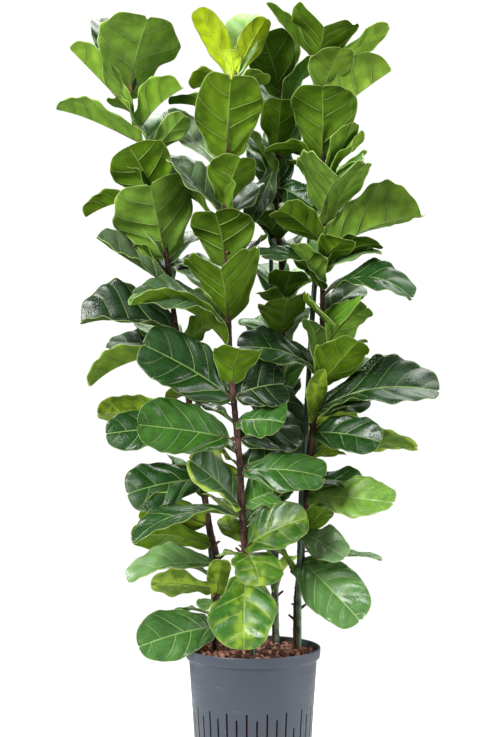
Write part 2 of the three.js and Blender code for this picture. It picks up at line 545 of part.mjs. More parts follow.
function stake(key) {
  const { line, radius } = STAKES[key];
  return mainBody(bar(line, line.map(() => radius), STAKE_SIDES));
}

// ---- the group of named meshes ----

function mesh(name, made, colour, roughness) {
  const { numProp, vertProperties, triVerts } = made.getMesh();
  const positions = new Float32Array((vertProperties.length / numProp) * 3);
  for (let i = 0; i < positions.length / 3; i++) {
    positions.set(vertProperties.subarray(i * numProp, i * numProp + 3), i * 3);
  }
  const geometry = new THREE.BufferGeometry();
  geometry.setAttribute("position", new THREE.BufferAttribute(positions, 3));
  geometry.setIndex(new THREE.BufferAttribute(new Uint32Array(triVerts), 1));
  const flat = geometry.toNonIndexed();
  flat.computeVertexNormals();
  const material = new THREE.MeshStandardMaterial({ color: colour, roughness, metalness: 0 });
  const finished = new THREE.Mesh(flat, material);
  finished.name = name;
  return finished;
}

const group = new THREE.Group();
group.name = "potted_fiddle_leaf_fig";
group.add(mesh("pot", pot(), 0x636a77, 0.45));
group.add(mesh("substrate", substrate(), 0x6b4433, 0.95));
const LEAF_GREENS = { left: 0x4f7d2c, middle: 0x5a8a2e, right: 0x49762b, back: 0x3f6b2a };
for (const key of Object.keys(STEMS)) {
  group.add(mesh("leafy_stem_" + key, leafyStem(key), LEAF_GREENS[key], 0.5));
}
for (const key of Object.keys(STAKES)) {
  group.add(mesh("stake_" + key, stake(key), 0x2f4a36, 0.6));
}

export default group;
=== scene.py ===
# %% [markdown]
# # A potted fiddle leaf fig
#
# The plant is four slender stems, each with its own stake, in a slotted grow pot full of fired clay chunks.
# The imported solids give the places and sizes. This script gives each of them its real surface: leaves with
# sunk veins and waved margins, bark, coated stakes, loose chunks and the smooth pot wall.
# Meshes are in metres and tables in millimetres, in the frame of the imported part: Z is up and the front of
# the plant faces -Y.

import math

import bpy
import numpy as np
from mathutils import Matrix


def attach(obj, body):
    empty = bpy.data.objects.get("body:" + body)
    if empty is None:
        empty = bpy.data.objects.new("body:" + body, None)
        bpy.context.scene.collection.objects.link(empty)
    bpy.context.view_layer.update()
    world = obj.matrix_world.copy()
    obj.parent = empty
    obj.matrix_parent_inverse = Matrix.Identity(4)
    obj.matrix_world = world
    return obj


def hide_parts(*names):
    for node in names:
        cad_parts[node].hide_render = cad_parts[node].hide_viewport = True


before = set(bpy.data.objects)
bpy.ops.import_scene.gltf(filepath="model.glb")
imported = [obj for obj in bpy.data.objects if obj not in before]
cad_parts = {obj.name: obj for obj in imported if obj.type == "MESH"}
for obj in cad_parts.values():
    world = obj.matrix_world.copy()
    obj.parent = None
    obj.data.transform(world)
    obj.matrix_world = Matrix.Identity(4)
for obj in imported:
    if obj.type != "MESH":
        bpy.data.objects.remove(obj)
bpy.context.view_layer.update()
MM = 0.001

# %% [markdown]
# ## Camera
# The photograph was taken from the front, level with the middle of the plant. A focal length in pixels
# follows from how much larger near things are than far ones. Blender wants it in millimetres on a 36 mm
# sensor, and on an upright picture the 36 mm lie along the height, so one follows from the other by a
# simple proportion.

# %% Camera
EYE = (-0.008, -2.54, 0.640)
FOCAL_PIXELS = 1568
PICTURE_HEIGHT = 737
SENSOR = 36.0

camera = bpy.data.objects.new("camera", bpy.data.cameras.new("camera"))
bpy.context.scene.collection.objects.link(camera)
camera.location = EYE
camera.rotation_euler = (math.radians(90), 0, 0)
camera.data.sensor_width = SENSOR
camera.data.lens = SENSOR * FOCAL_PIXELS / PICTURE_HEIGHT
bpy.context.scene.camera = camera
print("lens", round(camera.data.lens, 1), "mm")

# %% [markdown]
# ## Meshes from arrays
# A surface here is always a grid of points worked out as whole arrays. Small helpers turn such a grid into
# faces, and one puts points and faces into a Blender mesh. `foreach_set` copies a whole array in one call,
# which is far quicker than a loop over vertices.

# %% Faces of a grid, and a mesh from arrays
def unit(vectors):
    """Each vector divided by its length."""
    return vectors / np.maximum(np.linalg.norm(vectors, axis=-1, keepdims=True), 1e-12)


def quads(numbers):
    """Faces of a grid of point numbers: each four neighbours, turned so that rows x columns points out."""
    corners = [numbers[:-1, :-1], numbers[:-1, 1:], numbers[1:, 1:], numbers[1:, :-1]]
    return np.stack(corners, axis=-1).reshape(-1, 4)


def piece(name, points, faces, materials, kinds=None, attributes=None, slot=None, replaced=None):
    """One mesh object at the origin. faces is a list of arrays with 3 or more corners a face, kinds is the
    material number of each of those arrays, and attributes are values kept on the points."""
    mesh = bpy.data.meshes.new(name)
    corners = np.concatenate([f.ravel() for f in faces]).astype(np.int32)
    sizes = np.concatenate([np.full(len(f), f.shape[1]) for f in faces]).astype(np.int32)
    mesh.vertices.add(len(points))
    mesh.vertices.foreach_set("co", np.asarray(points, np.float32).ravel())
    mesh.loops.add(len(corners))
    mesh.loops.foreach_set("vertex_index", corners)
    mesh.polygons.add(len(sizes))
    mesh.polygons.foreach_set("loop_start", (np.cumsum(sizes) - sizes).astype(np.int32))
    for material in materials:
        mesh.materials.append(material)
    if kinds is not None:
        numbers = np.concatenate([np.full(len(f), k) for f, k in zip(faces, kinds)]).astype(np.int32)
        mesh.polygons.foreach_set("material_index", numbers)
    mesh.polygons.foreach_set("use_smooth", np.ones(len(sizes), bool))
    for key, values in (attributes or {}).items():
        kind, field = ("FLOAT_VECTOR", "vector") if values.ndim > 1 else ("FLOAT", "value")
        mesh.attributes.new(key, kind, "POINT").data.foreach_set(field, values.astype(np.float32).ravel())
    mesh.update(calc_edges=True)
    made = bpy.data.objects.new(name, mesh)
    bpy.context.scene.collection.objects.link(made)
    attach(made, "root")
    if replaced:
        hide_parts(replaced)
    print(name, len(points), "points", int((sizes - 2).sum()), "triangles")
    return made


# %% [markdown]
# A round bar along a path is the other shape this plant is full of: stems, stakes, petioles and ribs. A heap
# gathers many such parts before the mesh is made, so that dozens of leaves become one piece.

# %% Bars and heaps
def tube(path, radius, across, sides):
    """A round bar along a path, as (points, quads, triangles). At each step a ring of points lies at
    radius x (cos a, sin a) in the plane across the path, and a point at each end closes it."""
    path = np.asarray(path, float)
    ahead = unit(np.gradient(path, axis=0))
    first = unit(across - (ahead * across).sum(-1, keepdims=True) * ahead)
    second = np.cross(ahead, first)
    angle = np.linspace(0, 2 * np.pi, sides, endpoint=False)[None, :, None]
    rings = path[:, None] + np.asarray(radius)[:, None, None] * (
        np.cos(angle) * first[:, None] + np.sin(angle) * second[:, None])
    count = len(path)
    numbers = np.arange(count * sides).reshape(count, sides)
    numbers = np.hstack([numbers, numbers[:, :1]])
    foot, head = count * sides, count * sides + 1
    caps = np.vstack([
        np.stack([np.full(sides, foot), numbers[0, 1:], numbers[0, :-1]], -1),
        np.stack([np.full(sides, head), numbers[-1, :-1], numbers[-1, 1:]], -1)])
    points = np.vstack([rings.reshape(-1, 3), path[:1], path[-1:]])
    return points, quads(numbers), caps


class Heap:
    """Parts of one mesh, with the values that each of their points carries."""

    def __init__(self):
        self.points, self.faces, self.kinds, self.attributes, self.count = [], [], [], {}, 0

    def add(self, points, faces, kinds, **attributes):
        """One more part. A value is one for all its points, or one for each."""
        self.points.append(points)
        self.faces += [f + self.count for f in faces]
        self.kinds += kinds
        for key, values in attributes.items():
            one_for_all = np.ndim(values) == 0 or len(values) != len(points)
            spread = np.broadcast_to(values, (len(points), *np.shape(values))) if one_for_all else values
            self.attributes.setdefault(key, []).append(spread)
        self.count += len(points)

    def triangles(self):
        """Two for a face of four corners, one for a face of three."""
        return sum(len(f) * (f.shape[1] - 2) for f in self.faces)

    def make(self, name, materials, **settings):
        """All parts as one piece."""
        kept = {key: np.concatenate(values) for key, values in self.attributes.items()}
        return piece(name, np.vstack(self.points), self.faces, materials, self.kinds, kept, **settings)


# %% [markdown]
# ## Nodes for materials
# A material is a small tree of nodes. One function adds any node, sets it and links it, so a finish reads
# as a list of what it is made of. Colours are written as on a colour chart, in sRGB hex, and turned to
# linear light, which is what the shader counts in.

# %% Colour and node helpers
def rgb(code):
    """sRGB hex to linear: the value over 12.92 in the dark toe, and a power of 2.4 above it."""
    parts = [int(code[i:i + 2], 16) / 255 for i in (1, 3, 5)]
    return (*[p / 12.92 if p <= 0.04045 else ((p + 0.055) / 1.055) ** 2.4 for p in parts], 1.0)


def add(tree, kind, settings=None, inputs=None):
    """Adds one node. settings is a dict, or the name of an operation. inputs is a list in the order of the
    node's sockets, or a dict by name or number. Each is a value, a socket, or a node, which gives its first
    live output."""
    node = tree.nodes.new("ShaderNode" + kind)
    settings = {"operation": settings} if isinstance(settings, str) else settings or {}
    inputs = dict(enumerate(inputs)) if isinstance(inputs, list) else inputs or {}
    for key, value in settings.items():
        if key != "stops":
            setattr(node, key, value)
            continue
        ramp = node.color_ramp.elements
        for i, (place, colour) in enumerate(value):
            stop = ramp[i] if i < len(ramp) else ramp.new(place)
            stop.position, stop.color = place, rgb(colour)
    for key, value in inputs.items():
        if isinstance(value, bpy.types.Node):
            value = next(o for o in value.outputs if o.enabled)
        if isinstance(value, bpy.types.NodeSocket):
            tree.links.new(value, node.inputs[key])
        else:
            node.inputs[key].default_value = value
    return node


SMOOTH = {"interpolation_type": "SMOOTHSTEP"}  # a Map Range: value, from, to, result at from, result at to
# a Mix of two colours: 0 is the share of the second, 6 the first, 7 the second
COLOURS = {"data_type": "RGBA"}


def new_material(name):
    """An empty material, its tree to add nodes to, and each point's place on the object, in metres."""
    material = bpy.data.materials.new(name)
    material.use_nodes = True
    tree = material.node_tree
    tree.nodes.clear()
    return material, tree, add(tree, "TexCoord").outputs["Object"]


# %% [markdown]
# ## Stems: where everything grows from
# Each stem is a line from the pot to its tip, given at about a dozen heights. A real stem has no corners,
# so the line is rounded by taking the mean of a few points just above and below each height. Leaves and
# stakes use the same lines.

# %% The lines of stems and stakes, in millimetres: x, y, z from foot to tip
STEMS = {
    "left": [
        [-60, 10, 100], [-60, 10, 188], [-58, 8, 330], [-70, 6, 378], [-78, 4, 430], [-92, 2, 524],
        [-110, 0, 621], [-128, 0, 726], [-141, 0, 832], [-153, -4, 955], [-162, -5, 985], [-190, -6, 1020],
        [-199, -8, 1083],
    ],
    "middle": [
        [-6, -40, 100], [-6, -40, 188], [-13, -38, 345], [-18, -36, 426], [-21, -35, 491], [-29, -34, 572],
        [-36, -32, 637], [-39, -30, 718], [-44, -28, 815], [-45, -26, 912], [-42, -24, 985],
        [-36, -22, 1058], [-30, -20, 1104],
    ],
    "right": [
        [71, 35, 100], [71, 35, 188], [73, 34, 265], [79, 32, 330], [86, 30, 426], [96, 28, 524],
        [106, 26, 588], [113, 24, 670], [114, 22, 750], [112, 20, 864], [115, 18, 969], [110, 14, 1058],
        [107, 10, 1143],
    ],
    "back": [
        [38, 78, 100], [38, 78, 188], [37, 77, 300], [38, 75, 443], [48, 72, 653], [50, 70, 767],
        [44, 66, 864], [38, 62, 929], [41, 58, 993], [48, 54, 1058], [52, 50, 1107],
    ],
}
STAKES = {
    "left": {
        "radius": 3.5,
        "line": [
            [-63, 24, 100], [-63, 24, 190], [-66, 22, 300], [-72, 20, 370], [-78, 18, 430], [-90, 17, 600],
        ],
    },
    "middle": {
        "radius": 3.5,
        "line": [[0, -26, 100], [0, -26, 190], [-10, -24, 345], [-16, -22, 430], [-27, -20, 560]],
    },
    "right": {
        "radius": 4.5,
        "line": [
            [75, 20, 100], [75, 20, 190], [75, 19, 294], [79, 19, 441], [85, 24, 524], [92, 27, 637],
            [99, 28, 751], [103, 31, 800],
        ],
    },
    "back": {
        "radius": 3.5,
        "line": [[40, 64, 100], [40, 64, 190], [35, 62, 436], [31, 58, 753], [30, 56, 835]],
    },
}
STEM_FOOT_RADIUS, STEM_TOP_RADIUS = 6.6, 3.6
ROUNDING = np.array([-14, -7, 0, 7, 14])  # heights whose mean rounds a line's corners


def along_line(line, z):
    """Points of a rounded line at heights z: straight stretches between the given points, and then the mean
    of five neighbours."""
    line = np.asarray(line, float)
    heights = np.clip(np.asarray(z, float)[..., None] + ROUNDING, line[0, 2], line[-1, 2])
    x, y = (np.interp(heights, line[:, 2], line[:, k]).mean(-1) for k in (0, 1))
    return np.stack([x, y, np.asarray(z, float)], -1)


print("feet of the stems, mm:", {key: line[0][:2] for key, line in STEMS.items()})

# %% [markdown]
# ## Leaves: one row each
# A leaf is known by where its node sits on the stem, where its tip is, how wide the blade is, and how it is
# turned, arched, folded and waved. The rows below hold the same measures as in the part's source, so each
# fine leaf lies where the plain one lies. Leaves on the far side, which the photograph hides, follow a rule
# with repeatable draws.

# %% The leaf rows, in millimetres and degrees
# name, height of its node on the stem, tip x, tip y, tip z, blade width, roll, arch, fold, edge wave,
# petiole, youth from 0 (dark and glossy) to 1 (new and yellow-green)
LEAVES = {
    "left": [
        ["L01", 1080, -171, -45, 1206, 138, 0, 10, 10, 12, 16, 0.45],
        ["L02", 1075, -250, 30, 1215, 62, -30, 8, 10, 5, 20, 0.1],
        ["L03", 1050, -294, -20, 1158, 62, 10, 2, 50, 3, 20, 0.55],
        ["L04", 1020, -115, -30, 1100, 74, -15, 20, 50, 4, 18, 0.5],
        ["L05", 1000, -315, -10, 1065, 62, 14, 4, 28, 4, 20, 0.5],
        ["L06", 910, -215, -50, 985, 112, 5, 8, 6, 8, 18, 0.4],
        ["L07", 820, -150, -65, 930, 150, 30, 6, 28, 12, 18, 0.5],
        ["L08", 900, -270, 10, 890, 62, 8, 14, 38, 4, 24, 0.5],
        ["L09", 775, -250, -20, 860, 64, -38, 0, 24, 5, 26, 0.05],
        ["L10", 905, -140, 50, 995, 50, 0, 5, 10, 5, 18, 0.1],
        ["L11", 985, -115, -30, 1045, 52, -45, 5, 8, 5, 16, 0.4],
        ["L32", 885, -100, 30, 945, 40, 20, 8, 20, 4, 18, 0.1],
        ["L15", 805, -92, 52, 868, 50, 10, 6, 8, 4, 18, 0.2],
        ["L12", 700, -280, -25, 725, 110, -38, 14, 36, 6, 26, 0.1],
        ["L13", 665, -240, 40, 685, 48, -20, 8, 8, 4, 30, 0.1],
        ["L14", 665, -260, -30, 620, 64, 10, 13, 36, 5, 34, 0.6],
        ["L31", 675, -65, 10, 715, 55, -45, 6, 8, 4, 18, 0.5],
        ["L17", 555, -255, 10, 570, 52, 40, 4, 10, 4, 34, 0.7],
        ["L18", 540, -235, -20, 535, 72, -55, 8, 5, 5, 34, 0.2],
        ["L19", 460, -205, -30, 440, 90, -55, 10, 5, 6, 18, 0.25],
        ["L20", 425, -138, 40, 495, 56, 0, 5, 10, 5, 20, 0.5],
        ["L22", 385, -175, -32, 415, 78, 50, 8, 8, 8, 20, 0.7],
        ["L23", 350, -195, 10, 365, 72, 42, 14, 5, 5, 20, 0.5],
        ["L24", 320, -200, -40, 305, 76, -30, 15, 24, 5, 18, 0.3],
        ["L25", 280, -165, 10, 290, 70, 42, 5, 5, 5, 18, 0.8],
        ["L26", 265, -50, -50, 335, 40, 0, 5, 10, 4, 8, 0.9],
        ["L27", 255, -90, -20, 260, 25, -50, 3, 5, 3, 8, 0.5],
        ["L28", 220, -180, -60, 200, 84, -58, 16, 5, 5, 22, 0.15],
        ["L29", 235, -125, 30, 245, 45, 10, 5, 10, 4, 16, 0.5],
        ["L30", 195, -105, -10, 200, 40, 40, 6, 8, 3, 12, 0.7],
    ],
    "middle": [
        ["M01", 1100, -85, -25, 1215, 50, 50, 8, 5, 3, 16, 1],
        ["M02", 1105, -5, 25, 1220, 68, 5, 5, 10, 3, 14, 0.8],
        ["M03", 1105, 20, -35, 1200, 45, -50, 6, 5, 3, 14, 0.95],
        ["M04", 1100, -35, -35, 1150, 28, 0, 3, 12, 2, 8, 1],
        ["M05", 1085, -105, 5, 1115, 55, 10, 20, 5, 3, 14, 0.8],
        ["M06", 1085, 25, 0, 1105, 55, -10, 16, 5, 3, 14, 0.75],
        ["M07", 975, -35, -75, 1095, 112, 0, 8, 10, 5, 16, 0.5],
        ["M08", 1040, -135, 20, 1075, 46, 8, 6, 30, 4, 20, 0.3],
        ["M10", 955, -140, 42, 1060, 54, -35, 0, 15, 5, 22, 0.1],
        ["M11", 880, -135, -15, 975, 85, -30, 5, 20, 5, 20, 0.1],
        ["M12", 900, -20, -75, 970, 84, 0, 6, 18, 7, 16, 0.45],
        ["M13", 875, -60, -40, 955, 55, 0, 5, 10, 5, 18, 0.3],
        ["M14", 800, -60, -70, 885, 104, 0, 8, 8, 6, 18, 0.3],
        ["M15", 715, -50, -150, 790, 158, 0, 10, 34, 8, 20, 0.45],
        ["M16", 740, -124, 44, 818, 66, -30, 15, 8, 5, 24, 0.1],
        ["M17", 730, -105, 30, 765, 50, 20, 5, 8, 4, 22, 0.4],
        ["M19", 710, -190, -58, 754, 94, -30, 25, 8, 6, 24, 0.1],
        ["M20", 670, -190, -95, 740, 64, 6, 30, 34, 4, 22, 0.5],
        ["M23", 610, -20, -108, 670, 78, 0, 15, 5, 5, 16, 0.5],
        ["M33", 590, -170, -60, 670, 114, -62, 12, 5, 7, 20, 0.2],
        ["M38", 580, -140, -45, 600, 50, 20, 8, 5, 5, 26, 0.9],
        ["M26", 555, 45, -75, 555, 78, 45, 5, 5, 4, 18, 0.45],
        ["M34", 525, -180, -80, 555, 95, -60, 8, 5, 6, 40, 0.2],
        ["M36", 480, -75, 10, 515, 45, 30, 5, 8, 4, 22, 0.6],
        ["M27", 475, 110, -70, 470, 80, 42, 10, 4, 5, 18, 0.35],
        ["M35", 415, -100, -70, 495, 92, -45, 6, 8, 6, 18, 0.2],
        ["M37", 400, -190, -88, 375, 70, -10, 25, 6, 5, 20, 0.2],
        ["M31", 360, -50, 10, 395, 35, -30, 3, 8, 3, 14, 0.6],
        ["M28", 355, 85, -70, 405, 82, 58, 8, 3, 5, 12, 0.75],
        ["M29", 345, 10, -90, 300, 92, 0, 12, 3, 4, 14, 0.8],
        ["M32", 345, -58, -46, 340, 46, 0, 2, 5, 3, 16, 0.6],
        ["M30", 310, -15, -110, 205, 104, 0, 12, 3, 5, 14, 0.7],
        ["M40", 595, 50, -20, 615, 95, 50, 8, 5, 5, 18, 0.05],
        ["M41", 525, 75, 0, 550, 95, 50, 8, 5, 5, 18, 0.05],
        ["M09", 865, 8, 22, 940, 62, 0, 6, 8, 5, 18, 0.1],
        ["M18", 790, 14, 26, 850, 74, -10, 6, 8, 5, 18, 0.1],
        ["M42", 480, 52, -4, 500, 84, 50, 8, 5, 5, 18, 0.1],
        ["M43", 420, 34, -10, 440, 70, 40, 6, 6, 5, 16, 0.5],
    ],
    "right": [
        ["R01", 1140, 25, -10, 1230, 42, 0, -7, 28, 4, 20, 0.2],
        ["R02", 1140, 110, -110, 1172, 130, -10, 4, 34, 8, 14, 0.45],
        ["R03", 1110, 220, 10, 1195, 52, -30, 5, 8, 5, 18, 0.5],
        ["R07", 1075, 140, -50, 1150, 75, -10, 6, 8, 6, 16, 0.4],
        ["R08", 1035, 222, -20, 1127, 98, -20, 6, 45, 5, 20, 0.5],
        ["R09", 980, 110, -60, 1090, 106, 0, 8, 10, 8, 14, 0.35],
        ["R11", 965, 20, 0, 990, 52, 12, 20, 6, 4, 20, 0.5],
        ["R12", 895, 130, -150, 935, 132, 0, 8, 38, 8, 16, 0.4],
        ["R13", 820, 270, -35, 890, 125, -18, 10, 48, 6, 22, 0.5],
        ["R14", 860, 160, 60, 920, 60, 20, 5, 8, 5, 20, 0.1],
        ["R15", 845, 40, -50, 895, 66, 30, 8, 10, 6, 18, 0.4],
        ["R16", 815, 145, -50, 845, 60, -20, 5, 8, 5, 16, 0.5],
        ["R17", 790, 205, -10, 820, 65, -20, 18, 8, 5, 20, 0.3],
        ["R18", 765, 15, -60, 820, 92, -28, 22, 5, 5, 20, 0.15],
        ["R20", 760, 255, -30, 765, 95, 12, 36, 8, 6, 20, 0.2],
        ["R24", 720, 180, 60, 775, 60, 30, 8, 8, 5, 16, 0.1],
        ["R25", 720, 130, -110, 706, 115, 0, 0, 40, 6, 14, 0.6],
        ["R26", 635, 90, -45, 720, 40, -20, 5, 10, 4, 16, 0],
        ["R27", 605, 165, -60, 680, 82, -15, 6, 8, 7, 16, 0.5],
        ["R28", 610, 230, 50, 645, 50, 20, 8, 8, 4, 30, 0.4],
        ["R29", 570, 295, -30, 600, 108, 35, 24, 8, 6, 22, 0.1],
        ["R31", 545, 170, 10, 565, 45, -15, 6, 8, 4, 16, 0.6],
        ["R32", 545, 110, -30, 635, 38, 20, 4, 8, 4, 12, 0.6],
        ["R33", 535, 200, -60, 525, 70, 50, 8, 4, 5, 16, 0.2],
        ["R34", 500, 265, 20, 515, 60, -30, 12, 6, 5, 30, 0.8],
        ["R35", 490, 150, 10, 515, 35, -15, 5, 8, 4, 14, 0.6],
        ["R36", 455, 185, 20, 465, 60, 35, 8, 8, 5, 18, 0.2],
        ["R37", 430, 220, -60, 425, 80, 50, 8, 4, 6, 18, 0.4],
        ["R38", 365, 120, -22, 420, 42, -40, 5, 8, 5, 14, 0.4],
        ["R39", 370, 145, -60, 340, 58, 45, 8, 4, 5, 14, 0.3],
        ["R40", 340, 210, 20, 330, 45, 0, 3, 4, 3, 20, 0.4],
        ["R41", 325, 170, -70, 240, 94, 45, 10, 4, 5, 14, 0.3],
        ["R42", 310, 150, 0, 320, 35, -20, 4, 8, 3, 14, 0.8],
        ["R43", 290, 36, 36, 345, 46, 20, 5, 8, 4, 18, 0.5],
        ["R45", 495, 55, 70, 510, 60, -30, 5, 8, 5, 18, 0.2],
        ["R50", 630, -20, -12, 672, 88, -38, 20, 8, 5, 26, 0.1],
        ["R10", 930, 182, 30, 1022, 62, -10, 6, 8, 5, 18, 0.6],
        ["R19", 925, 62, 60, 985, 60, 0, 6, 8, 5, 18, 0.15],
        ["R21", 770, 70, -20, 838, 60, 10, 5, 8, 5, 16, 0.5],
    ],
    "back": [
        ["B02", 620, 70, 42, 520, 60, 40, 8, 5, 5, 24, 0.05],
        ["B04", 1085, 15, -10, 1180, 85, 20, 8, 10, 6, 16, 0.2],
        ["B05", 1075, 65, 80, 1165, 45, 0, 5, 8, 4, 16, 0.4],
        ["B06", 1100, 30, 40, 1195, 70, 20, 8, 8, 6, 14, 0.3],
        ["B10", 995, 45, -20, 1075, 62, 0, 6, 10, 5, 16, 0.5],
        ["B11", 945, -10, 40, 1030, 60, -15, 5, 12, 6, 18, 0.1],
        ["B12", 985, -5, 10, 880, 45, -20, -4, 10, 4, 18, 0],
        ["B13", 945, 98, 22, 905, 52, 60, 6, 8, 5, 18, 0.2],
        ["B14", 850, 0, 20, 890, 62, 0, 5, 8, 5, 16, 0],
        ["B19", 755, 65, -5, 795, 68, 0, 6, 8, 6, 18, 0.35],
        ["B22", 745, 15, -15, 765, 38, 20, 4, 8, 3, 18, 0.5],
        ["B23", 695, 55, -30, 755, 80, 10, 6, 8, 7, 16, 0.5],
        ["B44", 405, 2, 60, 470, 34, 0, 4, 8, 4, 24, 0.7],
        ["B46", 410, 76, 22, 465, 32, 40, 5, 8, 4, 22, 0.8],
        ["B07", 1060, 100, 40, 1150, 56, -10, 5, 10, 4, 16, 0.1],
    ],
}

# %% Leaves on the far side, set by rule
# how many, between which heights, towards which side (degrees from +X) and how far to each side of it, length
FAR_SIDE = {
    "left": {"count": 5, "low": 630, "high": 1010, "toward": 150, "spread": 18, "length": 120},
    "middle": {"count": 0, "low": 0, "high": 0, "toward": 0, "spread": 0, "length": 0},
    "right": {"count": 6, "low": 330, "high": 1060, "toward": 52, "spread": 24, "length": 120},
    "back": {"count": 12, "low": 300, "high": 1060, "toward": 92, "spread": 44, "length": 125},
}
FAR_SIDE_SEED = 41
# what a draw decides about such a leaf: the least value, and how much a draw adds at most
FAR_SIDE_DRAWS = {
    "reach": [0.85, 0.3],  # share of the length
    "climb": [28, 22],  # degrees above level
    "width": [78, 22],
    "roll": [-12, 24],
    "arch": [8, 10],
    "youth": [0.2, 0.4],
}
FAR_SIDE_STEEPER = 14  # degrees that the highest leaf climbs more
FAR_SIDE_FOLD, FAR_SIDE_WAVE, FAR_SIDE_PETIOLE = 12, 6, 20


def draws(seed):
    """Repeatable draws from 0 to 1: a state is the last one times a large number plus another, in 32 bits."""
    state = seed
    while True:
        state = (state * 1664525 + 1013904223) % 2 ** 32
        yield state / 2 ** 32


def far_side_rows(key):
    """Rows of the far leaves of a stem, one for each equal share of its height."""
    count, low, high, toward, spread, length = FAR_SIDE[key].values()
    draw = draws(FAR_SIDE_SEED + len(key) * 7)

    def drawn(name):
        return FAR_SIDE_DRAWS[name][0] + FAR_SIDE_DRAWS[name][1] * next(draw)

    rows = []
    for i in range(count):
        z = low + (high - low) * (i + 0.2 + 0.6 * next(draw)) / count
        azimuth = math.radians(toward + spread * (1 if i % 2 else -1) * (0.35 + 0.65 * next(draw)))
        reach = length * drawn("reach")
        climb = math.radians(drawn("climb") + FAR_SIDE_STEEPER * (z - low) / (high - low))
        flat = reach * math.cos(climb)
        foot = along_line(STEMS[key], z)
        tip = [foot[0] + flat * math.cos(azimuth), foot[1] + flat * math.sin(azimuth),
               z + reach * math.sin(climb)]
        rows.append([f"{key[0].upper()}F{i}", z, *tip, drawn("width"), drawn("roll"), drawn("arch"),
                     FAR_SIDE_FOLD, FAR_SIDE_WAVE, FAR_SIDE_PETIOLE, drawn("youth")])
    return rows


# %% [markdown]
# Between the leaves that the plain solids have, the real plant holds a few more, small and half hidden.
# They are only made here. And some leaves differ from their plain ones: the tip moves or the width changes
# by up to 22 mm, the blade turns by up to 34 degrees, or it has a look that stands out in the photograph.

# %% Small leaves in the gaps, and leaves with a look of their own
GAP_LEAVES = {
    "left": [
        ["X16", 290, -112, 30, 316, 46, 10, 6, 8, 4, 14, 0.5],
        ["X17", 800, -98, 30, 812, 46, 20, 6, 8, 4, 14, 0.3],
    ],
    "middle": [
        ["X10", 548, -98, 12, 584, 58, 10, 6, 8, 5, 14, 0.3],
        ["X11", 500, -80, 12, 520, 52, 10, 6, 8, 4, 14, 0.45],
        ["X12", 395, -78, 18, 436, 52, 10, 6, 8, 4, 14, 0.6],
        ["X13", 385, 22, 14, 422, 48, 10, 6, 8, 4, 14, 0.5],
        ["X23", 850, -122, 0, 944, 34, 30, 4, 20, 4, 50, 0.2],
    ],
    "right": [
        ["X01", 885, 186, 10, 990, 50, -20, 6, 10, 5, 16, 0.4],
        ["X02", 665, 184, 10, 742, 86, -30, 8, 8, 5, 16, 0.45],
        ["X08", 950, 78, 70, 1002, 54, 0, 6, 8, 4, 16, 0.4],
        ["X09", 800, 208, 10, 832, 42, 20, 6, 8, 4, 16, 0.5],
        ["X18", 930, 168, 0, 1035, 60, -10, 6, 10, 5, 18, 0.4],
        ["X19", 865, 176, -60, 968, 58, -10, 6, 12, 5, 18, 0.5],
        ["X21", 560, 190, 10, 584, 56, 30, 6, 8, 5, 18, 0.3],
    ],
    "back": [
        ["X03", 665, 88, 92, 744, 64, 0, 6, 8, 5, 16, 0.25],
        ["X04", 540, 76, 94, 624, 60, 0, 6, 8, 5, 16, 0.2],
        ["X05", 812, 20, 92, 884, 60, 0, 6, 8, 5, 16, 0.3],
        ["X06", 798, 86, 86, 864, 62, 0, 6, 8, 5, 16, 0.3],
        ["X07", 940, -4, 86, 1030, 58, 0, 6, 8, 5, 16, 0.3],
        ["X14", 385, 70, 92, 442, 54, 0, 6, 8, 4, 16, 0.5],
        ["X15", 262, 66, 60, 330, 56, 10, 6, 8, 4, 14, 0.6],
    ],
}
# name: millimetres that the tip moves right and up and the width grows, degrees of roll, millimetres of arch
ADJUSTED = {
    "L01": (4, -12, 14, 0, 0), "L03": (0, -6, 8, 0, 0), "L04": (0, -14, 4, 0, -10),
    "L05": (0, -4, 12, 0, 0), "L06": (18, 6, -8, 34, 0), "L07": (-14, 0, -6, 0, 0),
    "L08": (0, -4, -12, 0, 4), "L09": (0, -14, 14, 0, 0), "L11": (6, 0, -8, 0, 0),
    "L12": (8, -8, 0, -5, -2), "L13": (6, -4, 12, -20, 0), "L14": (0, -4, 8, 0, 0),
    "L17": (4, 2, 16, 10, 0), "L19": (6, 0, 0, 0, 0), "M01": (-6, 0, 0, 0, 0), "M05": (6, -20, 4, 0, 0),
    "M10": (0, 0, -6, 0, 0), "M15": (0, 0, -14, 0, 0), "M26": (4, 0, 10, -8, 0), "M33": (0, 4, -10, 0, 0),
    "M34": (0, -5, 0, 0, 0), "R08": (0, -10, 22, 0, 0), "R13": (0, -3, -2, -12, 8), "R17": (0, 22, 8, 0, 0),
    "R20": (0, -6, 4, 12, -6), "R29": (0, 4, 6, 0, 0), "R34": (0, 0, 14, 0, 0), "R35": (0, -14, 10, 0, 0),
    "R36": (0, -20, -4, 0, 0), "R41": (-4, 6, 0, 0, 0),
}
